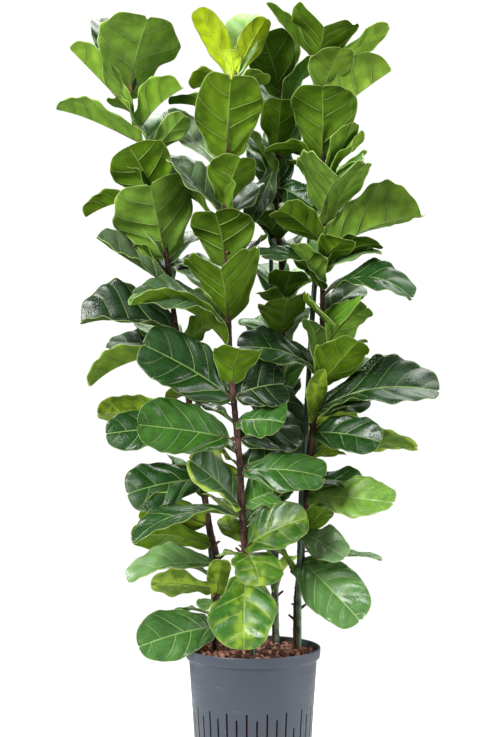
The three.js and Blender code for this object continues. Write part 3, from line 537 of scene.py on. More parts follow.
# name: values of read_leaf that the photograph shows plainly
# a high tint makes a leaf lighter and greyer, partly its dust and partly painted sheen, most on M10, M11,
# M16, L24 and R41; the least tint and youth make M14, M40 and M41 dark as painted shade of the leaves over
# them
LOOKS = {
    "M07": dict(notch=0.12, cup=-0.07, curl=-0.02, tint=-0.5), "L01": dict(notch=0.07, cup=-0.03, tint=0.8),
    "M26": dict(notch=0.0, cup=0.0, curl=0.0, tint=-0.2, youth=0.38),
    "M30": dict(patch=0.6, tint=-0.2, notch=0.01), "L06": dict(notch=0.0, fold=math.radians(2), tint=0.0),
    "L18": dict(tint=0.0), "R02": dict(tint=-0.8),
    "R13": dict(youth=0.56, tint=1.0, notch=0.0, curl=-0.03, fold=math.radians(36)), "L08": dict(start=0.3),
    "L07": dict(tint=1.0, fold=math.radians(14)), "M14": dict(tint=-1.0), "R03": dict(youth=0.6, tint=1.0),
    "R07": dict(youth=0.55, tint=0.8), "M10": dict(tint=1.0), "M11": dict(tint=0.6), "M16": dict(tint=0.6),
    "M02": dict(youth=0.62, tint=1.0), "R41": dict(youth=0.4, tint=0.5), "R37": dict(youth=0.64, tint=0.5),
    "M35": dict(patch=0.9, margin_patch=1.0), "R34": dict(patch=0.9, margin_patch=1.0),
    "M28": dict(youth=0.36, patch=0.35, tint=-0.7), "L12": dict(youth=0.05, tint=-0.4),
    "M29": dict(youth=0.52), "L24": dict(youth=0.45, tint=1.0), "L28": dict(youth=0.36, tint=0.3),
    "M40": dict(youth=0.0, tint=-1.0), "M41": dict(youth=0.0, tint=-1.0), "M34": dict(youth=0.42),
    "M38": dict(patch=0.6), "R08": dict(youth=0.62, tint=1.0),
}
print({key: len(LEAVES[key]) + FAR_SIDE[key]["count"] + len(GAP_LEAVES[key]) for key in LEAVES}, "leaves")

# %% [markdown]
# ## The outline and the veins of a blade
# A fiddle leaf has a blunt, broad top and a narrow waist, and no two are quite alike, so the two halves of
# each leaf swell and shrink a little on their own. A handful of strong side veins leave the midrib on each
# half and hook forward near the margin. They are counted, not drawn: every place on the blade gets a number
# that grows by one from vein to vein, and a vein lies where it is whole. The mesh and the finish both read
# that number.

# %% Outline and vein numbers
OUTLINE_RISE, OUTLINE_FALL = 0.62, 0.42
WAIST, WAIST_AT, WAIST_SPREAD = 0.12, 0.24, 0.11
EAR, EAR_AT, EAR_BACK = 0.25, 0.06, 0.1
VEIN_STEP = 38 * MM  # along the midrib, from one side vein to the next
FEWEST_VEINS, MOST_VEINS = 2.8, 4.4  # on each half
LOBE = 0.055  # share by which the margin swells and shrinks
LOBE_WAVES, LOBE_APART = (5.2, 11), (1.9, 2.6)  # radians from foot to tip, and between the two halves
VEIN_DRIFT = 0.035  # share of the length by which a vein may stand off its even place


def outline(t):
    """Half width at t, 1 at the widest: t to the 0.62 times the rest to the 0.42, less a waist, plus ears."""
    total = OUTLINE_RISE + OUTLINE_FALL
    top = (OUTLINE_RISE / total) ** OUTLINE_RISE * (OUTLINE_FALL / total) ** OUTLINE_FALL
    body = t ** OUTLINE_RISE * (1 - t) ** OUTLINE_FALL / top
    waist = 1 - WAIST * np.exp(-(((t - WAIST_AT) / WAIST_SPREAD) ** 2))
    return body * waist * (1 + EAR * np.exp(-(((t - EAR_AT) / EAR_AT) ** 2)))


def half_width(leaf, t, side):
    """Outline times the leaf's width, with two slow waves of its own on each side."""
    p, q = leaf["own"][:2] * 2 * np.pi
    slow = np.sin(LOBE_WAVES[0] * t + p + LOBE_APART[0] * side)
    lobes = slow + 0.5 * np.sin(LOBE_WAVES[1] * t + q + LOBE_APART[1] * side)
    return leaf["width"] / 2 * outline(t) * (1 + LOBE * lobes)


def vein_place(leaf, t, side):
    """t with a slow wave added, so that the veins stand unevenly and the halves differ."""
    return t + VEIN_DRIFT * np.sin(8 * t + leaf["phase"] + 1.3 * side)


def vein_forward(across):
    """How far towards the tip a side vein has run, a share of the length: straight at first, then hooked."""
    return 0.2 * across + 0.12 * across ** 2 + 0.07 * across ** 6


def vein_number(leaf, t, s):
    """Grows by one from each side vein to the next. The two halves take turns, and towards the tip the veins
    leave the midrib at a wider angle, so the forward run shrinks with the fourth power of t."""
    run = vein_place(leaf, t, np.sign(s)) - vein_forward(np.abs(s)) * (1 - 0.8 * t ** 4)
    return run * leaf["veins"] + leaf["shift"] + 0.5 * (s > 0)


def vein_gap(leaf, t, s):
    """Millimetres for one vein number: one over the length of its gradient on the blade."""
    slope = 0.2 + 0.24 * np.abs(s) + 0.42 * np.abs(s) ** 5
    along = leaf["veins"] / leaf["length"]
    across = leaf["veins"] * slope / np.maximum(half_width(leaf, t, np.sign(s)), 2 * MM)
    return 1 / np.hypot(along, across) / MM


# %% [markdown]
# ## The shape of one leaf
# The midrib is an arc from the stem to the tip. At each place t along the blade and s across it, a point is
# the arc's point, plus the half width times s sideways, plus what the fold, the cup, the waves and the
# veins lift it. Each leaf also twists, curls at its tip and buckles by draws of its own. Sunk veins with
# swollen fields between them are real shape on this leaf, so they are in the mesh and not only in the
# shading.

# %% One row as a leaf
OLD_BELOW = 620  # millimetres; the pale leaves below this height are old ones, not new ones
PALE_ABOVE, OLD_YOUTH = 0.55, 0.42  # youth that looks pale, and the youth that a pale old leaf gets
PETIOLE_SHARE = 0.6  # of the plain solid's petiole: the blade's lobes reach back and hide the rest


def read_leaf(key, row):
    """One row as named values in metres, with the directions that turn the blade and the draws of its own."""
    name, z, x, y, tip_z, width, roll, arch, fold, wave, petiole, youth = row
    aside, higher, wider, turned, bent = ADJUSTED.get(name, (0, 0, 0, 0, 0))
    x, tip_z, width, roll, arch = x + aside, tip_z + higher, width + wider, roll + turned, arch + bent
    root, tip = along_line(STEMS[key], z) * MM, np.array([x, y, tip_z]) * MM
    chord = tip - root
    along = unit(chord)
    up = unit(np.array([0, 0, 1.0]) - along * along[2])
    turn = math.radians(roll)
    face = up * math.cos(turn) + np.cross(along, up) * math.sin(turn)
    length = np.linalg.norm(chord)
    own = np.random.default_rng(int.from_bytes(name.encode(), "big")).random(10)
    old = z < OLD_BELOW and youth > PALE_ABOVE
    leaf = dict(
        root=root, tip=tip, face=face, middle=root + chord / 2 + face * 2 * arch * MM,
        start=min(0.3, PETIOLE_SHARE * petiole * MM / length), length=length, width=width * MM,
        fold=math.radians(fold), wave=wave * MM, phase=math.radians(sum(37 * ord(c) for c in name) % 360),
        own=own, youth=OLD_YOUTH if old else youth, patch=1.0 if old else 0.0, margin_patch=0.0,
        shift=own[2], tint=2 * own[9] - 1, veins=min(max(length / VEIN_STEP, FEWEST_VEINS), MOST_VEINS),
        twist=math.radians(24 * own[3] - 12), cup=0.12 * own[4] - 0.04, curl=0.09 * own[5] - 0.055,
        notch=(0.02 + 0.06 * own[6]) * min(width / 100, 1.2))
    leaf.update(LOOKS.get(name, {}))
    return leaf


# %% Points of a blade
SWELL = 0.03  # height of the fields between veins, as a share of the blade's width
SWELL_OVER = 7 * MM  # distance from the midrib over which they rise
RIPPLE = 0.028  # of the margin, once for each vein, as a share of the width
BUCKLE = 0.024  # of the whole blade, as a share of the width
NOTCH_AT, NOTCH_SPREAD, CURL_FROM = 0.93, 0.09, 0.6  # places along the blade
BLADE_THICKNESS = 0.7 * MM


def arc(leaf, q):
    """Point and direction of the midrib's arc at q from the stem (0) to the tip (1)."""
    root, middle, tip, q = leaf["root"], leaf["middle"], leaf["tip"], np.asarray(q)[..., None]
    point = root * (1 - q) ** 2 + middle * 2 * q * (1 - q) + tip * q ** 2
    return point, unit((middle - root) * (1 - q) + (tip - middle) * q)


def blade(leaf, t, s, lift=0.0):
    """Places on a leaf at t along and s across, lifted off the upper face by lift."""
    centre, ahead = arc(leaf, leaf["start"] + (1 - leaf["start"]) * t)
    level = unit(leaf["face"] - (ahead @ leaf["face"])[..., None] * ahead)
    aside = np.cross(ahead, level)
    turn = (leaf["twist"] * t)[..., None]
    normal = level * np.cos(turn) + aside * np.sin(turn)
    right = aside * np.cos(turn) - level * np.sin(turn)

    across, side, width = np.abs(s), np.sign(s), leaf["width"]
    bell = np.sqrt(np.sin(np.pi * t))
    out = half_width(leaf, t, side) * across
    number = vein_number(leaf, t, s)
    wave = leaf["wave"] * across ** 2 * bell * np.sin(3 * np.pi * t + leaf["phase"] + 2.1 * (s > 0))
    ripple = RIPPLE * width * across ** 3 * bell * -np.cos(2 * np.pi * number)
    cup = leaf["cup"] * width * across ** 2 * bell
    p, q = leaf["own"][7:9] * 2 * np.pi
    buckle = BUCKLE * width * across * bell * np.sin(8.5 * t + 2.2 * s + p) * np.sin(4.6 * s - 3 * t + q)
    curl = leaf["curl"] * leaf["length"] * np.clip((t - CURL_FROM) / (1 - CURL_FROM), 0, 1) ** 2
    fade = np.clip(out / SWELL_OVER, 0, 1) * (1 - across ** 6) * bell
    swell = SWELL * width * np.abs(np.sin(np.pi * number)) * fade

    rise = out * math.sin(leaf["fold"]) + wave + ripple + cup + buckle + curl
    back = EAR_BACK * width * (1 - t) ** 4 * across
    near_tip = np.exp(-(((t - NOTCH_AT) / NOTCH_SPREAD) ** 2))
    notch = leaf["notch"] * leaf["length"] * near_tip * across ** 2
    skin = normal * math.cos(leaf["fold"]) - right * (side * math.sin(leaf["fold"]))[..., None]
    return (centre + right * (out * math.cos(leaf["fold"]) * side)[..., None] + normal * rise[..., None]
            + ahead * (notch - back)[..., None] + skin * (swell + lift)[..., None])


# %% [markdown]
# ## From one leaf to a closed blade with ribs
# A blade is two skins, the upper and the lower, joined by a rim all round, so it is a real closed body of a
# leaf's thickness. The rows stand closer at both ends, where the outline turns fast. Ribs are thin tapering
# bars on the lower face: the midrib carries on from the petiole, and a side vein follows a line of equal
# vein number.

# %% Grid of a blade
ROWS_BIG, ROWS_MEDIUM, ROWS_SMALL = (66, 28), (50, 22), (40, 18)
BIG_WIDTH, SMALL_WIDTH = 84 * MM, 60 * MM
CROWDING = 0.8  # 0 spaces the rows evenly, 1 puts them infinitely close at the ends
UPPER, LOWER, RIB = 0, 1, 2  # numbers of a leaf's three finishes


def grid_places(rows, columns):
    """t along and s across for a grid. Rows crowd at both ends, and two close columns frame the midrib."""
    u = np.linspace(0.002, 0.9985, rows)
    t = u - CROWDING * np.sin(2 * np.pi * u) / (2 * np.pi)
    half = np.concatenate([[0.03], np.linspace(0.03, 1, columns // 2)[1:]])
    s = np.concatenate([-half[::-1], [0], half])
    return np.meshgrid(t, s, indexing="ij")


def closed_sheet(rows, columns):
    """Faces of two skins of rows x columns points, upper first, as upper, lower and rim."""
    upper = np.arange(rows * columns).reshape(rows, columns)
    lower = upper + rows * columns
    ring = np.concatenate([upper[:-1, 0], upper[-1, :-1], upper[:0:-1, -1], upper[0, :0:-1]])
    after = np.roll(ring, -1)
    rim = np.stack([ring, after, after + rows * columns, ring + rows * columns], -1)
    return quads(upper), quads(lower)[:, ::-1], rim


def add_sheet(heap, leaf, size):
    """Adds the closed blade. blade_map holds, for each point, its millimetres from the midrib, its vein
    number and its millimetres from the margin. vein_map holds millimetres for one vein number, the midrib's
    half width in millimetres, and t."""
    t, s = grid_places(*size)
    lifts = (BLADE_THICKNESS / 2, -BLADE_THICKNESS / 2)
    skins = np.concatenate([blade(leaf, t, s, lift).reshape(-1, 3) for lift in lifts])
    half = half_width(leaf, t, np.sign(s)) / MM
    across = np.abs(s)
    rib = np.interp(t, [0, 0.3, 1], RIB_WIDTHS) * leaf["bulk"]
    place = np.stack([half * across, vein_number(leaf, t, s), half * (1 - across)], -1).reshape(-1, 3)
    veins = np.stack([vein_gap(leaf, t, s), rib, t], -1).reshape(-1, 3)
    heap.add(skins, list(closed_sheet(*t.shape)), [UPPER, LOWER, LOWER], leaf_look=leaf["look"],
             blade_map=np.vstack([place, place]), vein_map=np.vstack([veins, veins]))


# %% Petiole, midrib and side veins
RIB_WIDTHS = (1.5, 1.15, 0.5)  # half width of the midrib at the foot, a third up and at the tip, millimetres
RIB_RADII = (2.0, 1.5, 1.1, 0.3)  # radius of its bar at the foot, at 0.02, 0.3 and the end
VEIN_REACH = np.linspace(0.02, 0.94, 9)


def vein_paths(leaf):
    """Lines of equal vein number, from the midrib to just inside the margin, as pairs of t and s."""
    ladder = np.linspace(0, 1, 200)
    for side in (-1, 1):
        for number in range(int(leaf["veins"]) + 2):
            start = (number - leaf["shift"] - 0.5 * (side > 0)) / leaf["veins"]
            run = vein_place(leaf, ladder, side) - vein_forward(VEIN_REACH)[:, None] * (1 - 0.8 * ladder ** 4)
            t = np.array([np.interp(start, row, ladder) for row in run])
            inside = t < 0.955
            if 0.03 < start < 0.8 and inside.sum() > 4:
                yield t[inside], side * VEIN_REACH[inside]


def add_ribs(heap, leaf):
    """Adds petiole and midrib as one bar, half sunk in the lower face, and a thin bar for each side vein."""
    look, bulk = leaf["look"], leaf["bulk"] * MM
    q = np.linspace(0.0, leaf["start"], 6)
    stalk = arc(leaf, q)[0]
    place = np.concatenate([[0.02, 0.05], np.linspace(0.1, 0.94, 15)])
    path = np.vstack([stalk, blade(leaf, place, 0 * place)])
    along = np.concatenate([0 * q, place])
    radius = bulk * np.interp(along, [0, 0.02, 0.3, 0.94], RIB_RADII)
    radius[:3] *= (1.5, 1.2, 1.05)
    sunk = leaf["face"] * (0.55 * radius * np.clip(along * 8, 0, 1))[:, None]
    points, sides, caps = tube(path - sunk, radius, leaf["face"], 8)
    shown = np.concatenate([np.repeat(along, 8), along[:1], along[-1:]])
    heap.add(points, [sides, caps], [RIB, RIB], blade_map=np.stack([shown, 0 * shown, 0 * shown], -1),
             vein_map=np.zeros(3), leaf_look=look)
    for t_path, s_path in vein_paths(leaf):
        path = blade(leaf, t_path, s_path, -0.75 * BLADE_THICKNESS)
        points, sides, caps = tube(path, bulk * np.linspace(0.8, 0.25, len(t_path)), leaf["face"], 4)
        heap.add(points, [sides, caps], [RIB, RIB], blade_map=np.array([0.7, 0, 0]), vein_map=np.zeros(3),
                 leaf_look=look)


def add_leaf(heap, leaf):
    """Adds one whole leaf. leaf_look holds its youth, its tint (its own lightness, and on some leaves painted
    shade or painted sheen) and how patchy it is, with 2 more where the patches keep to the margin."""
    leaf["look"] = np.array([leaf["youth"], leaf["tint"], leaf["patch"] + 2 * leaf["margin_patch"]])
    leaf["bulk"] = min(max(leaf["width"] / (100 * MM), 0.65), 1.15)
    width = leaf["width"]
    size = ROWS_BIG if width >= BIG_WIDTH else ROWS_MEDIUM if width >= SMALL_WIDTH else ROWS_SMALL
    add_sheet(heap, leaf, size)
    add_ribs(heap, leaf)


# %% [markdown]
# ## Leaf finishes
# The upper face is a waxy cuticle: dark, smooth and glossy, so it mirrors the studio as a pale sheen. The
# lower face is a plain matt yellow-green with no wax. Both read the values that the mesh carries: how young
# the leaf is, and how many millimetres a point is from the midrib, from the nearest side vein and from the
# margin. A leaf's wax has an IOR near 1.48, and its roughness runs from 0.25 on a wiped leaf to 0.5 on a
# dusty one.

# %% Masks that both faces share
FLECK = 42 * MM  # size of the soft light and dark areas on a blade
CLOUD = 18 * MM  # size of the smaller shadings between the veins
LADDER = 9.0  # millimetres between the small veins that join the side veins
NET_MESH = 4.5 * MM  # size of the fields in the fine net; real ones are 1 to 2 mm, too fine to show here
VEIN_HALF = 0.7  # millimetres; side veins are drawn a little wider than real, so that they show


def attribute(tree, name):
    """The three parts of a value that the mesh carries on its points."""
    carried = add(tree, "Attribute", {"attribute_name": name}).outputs["Vector"]
    return add(tree, "SeparateXYZ", None, {0: carried}).outputs


def leaf_masks(tree, place):
    """Side veins, midrib, ladder, net and soft areas of a blade, each from 0 to 1, by name."""
    at, veins, look = (attribute(tree, name) for name in ("blade_map", "vein_map", "leaf_look"))
    soft = add(tree, "TexNoise", None, {"Vector": place, "Scale": 1 / FLECK, "Detail": 2.0})
    fine = add(tree, "TexNoise", None, {"Vector": place, "Scale": 1 / (7 * MM), "Detail": 3.0})
    broad = add(tree, "TexNoise", None, {"Vector": place, "Scale": 1 / CLOUD, "Detail": 3.0})
    cells = add(tree, "TexVoronoi", {"feature": "DISTANCE_TO_EDGE"}, {"Vector": place, "Scale": 1 / NET_MESH})
    part = add(tree, "Math", "FRACT", [at["Y"]])
    off_middle = add(tree, "Math", "ABSOLUTE", [add(tree, "Math", "SUBTRACT", [part, 0.5])])
    number_gap = add(tree, "Math", "SUBTRACT", [0.5, off_middle])
    away = add(tree, "Math", "MULTIPLY", [number_gap, veins["X"]])
    by_margin = add(tree, "MapRange", SMOOTH, [at["Z"], 1.0, 16.0, 0.1, 1.0])
    by_tip = add(tree, "MapRange", SMOOTH, [veins["Z"], 0.35, 0.95, 1.0, 0.25])
    thin_out = add(tree, "Math", "MULTIPLY", [by_margin, by_tip])
    side_vein = add(tree, "MapRange", SMOOTH, [away, VEIN_HALF * 0.45, VEIN_HALF * 1.35, 1.0, 0.0])
    side_vein = add(tree, "Math", "MULTIPLY", [side_vein, thin_out])
    off_rib = add(tree, "Math", "SUBTRACT", [at["X"], veins["Y"]])
    midrib = add(tree, "MapRange", SMOOTH, [off_rib, -0.3, 0.6, 1.0, 0.0])
    rung = add(tree, "Math", "DIVIDE", [at["X"], LADDER])
    rung = add(tree, "Math", "FRACT", [add(tree, "Math", "MULTIPLY_ADD", [fine, 0.7, rung])])
    rung = add(tree, "Math", "ABSOLUTE", [add(tree, "Math", "SUBTRACT", [rung, 0.5])])
    return dict(at=at, look=look, soft=soft, fine=fine, broad=broad, away=away, gap=number_gap,
                vein=add(tree, "Math", "MAXIMUM", [midrib, side_vein]),
                ladder=add(tree, "MapRange", SMOOTH, [rung, 0.02, 0.07, 1.0, 0.0]),
                net=add(tree, "MapRange", SMOOTH, [cells, 0.02, 0.14, 1.0, 0.0]))


# %% The finish of one face
LIME = "#a3bd34"


def leaf_face(name, greens, vein_colour, margin_colour, vein_share, small_share, rough, relief, vein_shade, dust_and_sheen,
              clouds):
    """A ramp of greens by youth, lime patches on old leaves, pale veins and margin, a faint ladder and net,
    fields a little darker beside the veins as painted shade, a pale grey-green on leaves of a high tint that
    is partly dust and partly painted sheen, soft lighter and darker clouds that are the leaf's uneven tone
    and painted light and shade of its buckles, and a relief that sinks or raises the veins."""
    material, tree, place = new_material(name)
    m = leaf_masks(tree, place)
    age = add(tree, "Math", "SUBTRACT", [m["look"]["X"], 0.15])
    age = add(tree, "Math", "MULTIPLY_ADD", [m["soft"], 0.3, age])
    colour = add(tree, "ValToRGB", {"stops": greens}, {"Fac": age})
    # painted shade: the blade turns darker towards each side vein, where the vein relief shades it
    field = add(tree, "MapRange", SMOOTH, [m["away"], 1.0, 9.0, vein_shade, 1.06])
    colour = add(tree, "HueSaturation", None, {"Value": field, "Color": colour})

    blotch = add(tree, "MapRange", SMOOTH, [m["broad"], 0.4, 0.58, 0.25, 1.0])
    near_vein = add(tree, "MapRange", SMOOTH, [m["gap"], 0.0, 0.24, 0.6, 0.0])
    near_midrib = add(tree, "MapRange", SMOOTH, [m["at"]["X"], 2.0, 26.0, 0.95, 0.0])
    near_margin = add(tree, "MapRange", SMOOTH, [m["at"]["Z"], 1.0, 9.0, 0.7, 0.0])
    anywhere = add(tree, "Math", "MAXIMUM", [near_midrib, near_margin])
    anywhere = add(tree, "Math", "MAXIMUM", [near_vein, anywhere])
    anywhere = add(tree, "Math", "MULTIPLY", [anywhere, blotch])
    at_margin = add(tree, "MapRange", SMOOTH, [m["at"]["Z"], 3.0, 11.0, 1.0, 0.0])
    margin_only = add(tree, "Math", "GREATER_THAN", [m["look"]["Z"], 1.5])
    where = add(tree, "Mix", None, {0: margin_only, 2: anywhere, 3: at_margin})
    amount = add(tree, "Math", "MINIMUM", [m["look"]["Z"], 0.8])
    patch = add(tree, "Math", "MULTIPLY", [where, amount])
    colour = add(tree, "Mix", COLOURS, {0: patch, 6: colour, 7: rgb(LIME)})

    small = add(tree, "Math", "MAXIMUM", [m["ladder"], add(tree, "Math", "MULTIPLY", [m["net"], 0.6])])
    small = add(tree, "Math", "MULTIPLY", [small, small_share])
    colour = add(tree, "Mix", COLOURS, {0: small, 6: colour, 7: rgb(vein_colour)})
    vein = add(tree, "Math", "MULTIPLY", [m["vein"], vein_share])
    colour = add(tree, "Mix", COLOURS, {0: vein, 6: colour, 7: rgb(vein_colour)})
    edge = add(tree, "MapRange", SMOOTH, [m["at"]["Z"], 0.4, 1.4, 0.75, 0.0])
    colour = add(tree, "Mix", COLOURS, {0: edge, 6: colour, 7: rgb(margin_colour)})
    # partly dust and partly painted sheen: a high tint mixes in a pale grey-green
    pale = add(tree, "MapRange", SMOOTH, [m["look"]["Y"], 0.0, 1.0, 0.0, dust_and_sheen])
    colour = add(tree, "Mix", COLOURS, {0: pale, 6: colour, 7: rgb("#8fa67c")})
    # the tint makes a leaf lighter or darker: its own lightness, and on some leaves painted sheen or painted
    # shade
    tint = add(tree, "MapRange", SMOOTH, [m["look"]["Y"], -1.0, 1.0, 0.8, 1.32])
    colour = add(tree, "HueSaturation", None, {"Value": tint, "Color": colour})

    # the leaf's own uneven tone, with painted light and shade of its buckled blade
    cloud = add(tree, "MapRange", SMOOTH, [m["broad"], 0.35, 0.65, 1 - clouds, 1 + 0.8 * clouds])
    colour = add(tree, "HueSaturation", None, {"Value": cloud, "Color": colour})
    roughness = add(tree, "MapRange", SMOOTH, [m["soft"], 0.38, 0.62, rough - 0.11, rough + 0.13])
    pucker = add(tree, "Math", "MULTIPLY", [m["fine"], 0.22])
    pucker = add(tree, "Math", "MULTIPLY_ADD", [m["broad"], 2.6, pucker])
    height = add(tree, "Math", "MULTIPLY_ADD", [m["vein"], relief, pucker])
    small = add(tree, "Math", "MAXIMUM", [m["ladder"], m["net"]])
    height = add(tree, "Math", "MULTIPLY_ADD", [small, 0.4 * relief, height])
    bump = add(tree, "Bump", None, {"Strength": 0.6, "Distance": 0.4 * MM, "Height": height})
    shader = add(tree, "BsdfPrincipled", None, {
        "Base Color": colour, "Roughness": roughness, "Normal": bump, "IOR": 1.48,
        "Specular IOR Level": 0.44 if relief < 0 else 0.12})
    add(tree, "OutputMaterial", None, {"Surface": shader})
    return material


UPPER_GREENS = [(0.0, "#0d2a12"), (0.25, "#1d4a18"), (0.5, "#3d741b"), (0.78, "#7da31c"), (1.0, "#b4cc16")]
LOWER_GREENS = [(0.0, "#3c5a14"), (0.5, "#5a7e10"), (0.8, "#86a31c"), (1.0, "#b4cc14")]
waxy_upper_face = leaf_face(
    "waxy_upper_face", UPPER_GREENS, vein_colour="#9dbd6c", margin_colour="#8fa65c", vein_share=0.75,
    small_share=0.08, rough=0.3, relief=-1.2, vein_shade=0.88, dust_and_sheen=0.3, clouds=0.14)
matt_lower_face = leaf_face(
    "matt_lower_face", LOWER_GREENS, vein_colour="#8fac4c", margin_colour="#a7b96c", vein_share=0.38,
    small_share=0.1, rough=0.6, relief=0.6, vein_shade=0.84, dust_and_sheen=0.1, clouds=0.17)
print("finishes for", waxy_upper_face.name, "and", matt_lower_face.name)


# %% Ribs
def rib_finish():
    """Petioles and ribs: brown at the stem, then dull olive, and pale green out in the blade. The base of a
    midrib is darker than the blade round it, as on the real leaf."""
    material, tree, place = new_material("rib_skin")
    along, look = attribute(tree, "blade_map"), attribute(tree, "leaf_look")
    ramp = [(0.0, "#54402a"), (0.22, "#4f5026"), (0.5, "#7d9844"), (1.0, "#8fac4c")]
    colour = add(tree, "ValToRGB", {"stops": ramp}, {"Fac": along["X"]})
    young = add(tree, "MapRange", SMOOTH, [look["X"], 0.6, 1.0, 0.0, 1.0])
    colour = add(tree, "Mix", COLOURS, {0: young, 6: colour, 7: rgb("#bcd03c")})
    grain = add(tree, "TexNoise", None, {"Vector": place, "Scale": 1 / (2 * MM)})
    bump = add(tree, "Bump", None, {"Strength": 0.3, "Distance": 0.2 * MM, "Height": grain})
    shader = add(tree, "BsdfPrincipled", None, {"Base Color": colour, "Roughness": 0.5, "Normal": bump})
    add(tree, "OutputMaterial", None, {"Surface": shader})
    return material


rib_skin = rib_finish()

# %% [markdown]
# ## The foliage
# Leaves of one stem go into a few meshes, a new one begun once a mesh passes 185 000 triangles. Leaves of
# one stem go into a few meshes, each under the size at which an export would thin it. Every one of them
# stands for the stem's imported solid.

# %% Foliage pieces
MOST_TRIANGLES = 185_000  # a piece is closed by the leaf that passes this


def foliage(key):
    """All leaves of a stem, gathered from the bottom up into as few pieces as the triangle limit allows."""
    rows = sorted(LEAVES[key] + far_side_rows(key) + GAP_LEAVES[key], key=lambda row: row[1])
    heap, number = Heap(), 1
    for i, row in enumerate(rows):
        add_leaf(heap, read_leaf(key, row))
        if heap.triangles() > MOST_TRIANGLES or i == len(rows) - 1:
            finishes = [waxy_upper_face, matt_lower_face, rib_skin]
            heap.make(f"leaves_{key}_{number}", finishes, slot="foliage", replaced="leafy_stem_" + key)
            heap, number = Heap(), number + 1


for key in STEMS:
    foliage(key)

# %% [markdown]
# ## Bark
# A young fig stem is green-brown at the top and turns dark brown and rough below. Each fallen leaf leaves a
# ring with a small scar, so the bar swells a little at every node, and the two papery scales that once
# wrapped the bud dry there and stay, brown and pointed. Lower down a few short blunt stubs of cut twigs
# stick out.

# %% Stems with rings
STEM_SIDES = 16
RING_STEP, RING_SPREAD = 17, 0.09  # millimetres between leaf scars, and their share of it
RIDGES, RIDGE_HEIGHT, ROUGHNESS = 5, 0.05, 0.02  # height and noise as shares of the radius
UPRIGHT = np.array([0, 0, 1.0])
SIDEWAYS = np.array([1.0, 0, 0])


def stem_radius(line, z):
    """Taper from foot to top, with a narrow swelling at every leaf scar."""
    share = (z - line[0][2]) / (line[-1][2] - line[0][2])
    scar = np.exp(-((((z / RING_STEP) % 1) - 0.5) / RING_SPREAD) ** 2)
    return (STEM_FOOT_RADIUS + (STEM_TOP_RADIUS - STEM_FOOT_RADIUS) * share) * (0.93 + 0.13 * scar)


def add_bar(heap, line, seed):
    """The bar of one stem: five low ridges that turn slowly, and a little noise, swell its rings."""
    z = np.linspace(line[0][2], line[-1][2], int((line[-1][2] - line[0][2]) / 2.4))
    points, sides, caps = tube(along_line(line, z) * MM, stem_radius(line, z) * MM, SIDEWAYS, STEM_SIDES)
    angle = np.tile(np.linspace(0, 2 * np.pi, STEM_SIDES, endpoint=False), len(z))
    centre = np.repeat(along_line(line, z) * MM, STEM_SIDES, axis=0)
    noise = np.random.default_rng(seed).normal(0, ROUGHNESS, len(angle))
    ridge = 1 + RIDGE_HEIGHT * np.sin(RIDGES * angle + np.repeat(z, STEM_SIDES) / 23) + noise
    points[:-2] = centre + (points[:-2] - centre) * ridge[:, None]
    share = np.append(np.repeat((z - z[0]) / (z[-1] - z[0]), STEM_SIDES), [0.0, 1.0])
    heap.add(points, [sides, caps], [0, 0], stem_share=share)


# %% Stubs, dry scales and the bud at the top
# stem, height, azimuth in degrees from +X, length: short blunt stubs that show near the pot, millimetres
STUBS = [
    ("right", 226, 180, 7), ("right", 243, -10, 15), ("right", 278, 5, 6), ("right", 297, 175, 8),
    ("right", 312, -60, 5), ("right", 262, -80, 5), ("right", 345, 0, 6), ("back", 259, 0, 7),
    ("left", 217, 175, 10), ("left", 250, 200, 6), ("left", 300, -60, 5), ("left", 328, 10, 7),
    ("middle", 343, 195, 9), ("middle", 352, -40, 9), ("middle", 380, 20, 5), ("middle", 414, 200, 5),
]
SCALES_FROM, SCALES_TO, SCALES_STEP = 240, 1000, 27  # millimetres up the stem
SCALE_THICKNESS = 0.7 * MM
BUD = [(-4, 3.6), (0, 4.0), (4, 4.2), (8, 3.9), (12, 3.4), (15, 2.7), (19, 1.9), (23, 1.1), (26, 0.4)]


def add_stub(heap, line, height, azimuth, length):
    """A blunt bar that leaves the stem upwards at a slant and bends up a little."""
    a = math.radians(azimuth)
    steps = np.array([0, 0.3, 0.6, 0.85, 0.96, 1])[:, None]
    reach = (STEM_FOOT_RADIUS + length) * MM
    out = np.array([math.cos(a), math.sin(a), 0.55])
    path = along_line(line, height) * MM + reach * (out * steps + 0.2 * UPRIGHT * steps ** 2)
    radius = np.array([3.0, 2.6, 2.1, 1.9, 1.6, 0.7]) * MM
    points, sides, caps = tube(path, radius, np.array([0.1, 0.2, 1.0]), 8)
    heap.add(points, [sides, caps], [0, 0], stem_share=0.0)


def add_scales(heap, key, line):
    """Small dry sheets at regular heights, each a tiny blade that stands off the stem at a slant."""
    rng = np.random.default_rng(len(key) + 11)
    for height in np.arange(SCALES_FROM, SCALES_TO, SCALES_STEP):
        z = height + rng.uniform(-8, 8)
        a, length = rng.uniform(0, 2 * np.pi), rng.uniform(11, 19)
        tip = along_line(line, z) + [11 * math.cos(a), 11 * math.sin(a), length]
        row = [f"S{int(z)}", z, *tip, rng.uniform(7, 10), rng.uniform(-20, 20), 1.5, 40, 0.8, 5, 0]
        leaf = read_leaf(key, row)
        t, s = grid_places(10, 6)
        lifts = (SCALE_THICKNESS / 2, -SCALE_THICKNESS / 2)
        skins = np.concatenate([blade(leaf, t, s, lift).reshape(-1, 3) for lift in lifts])
        heap.add(skins, list(closed_sheet(*t.shape)), [1, 1, 1], stem_share=0.5)


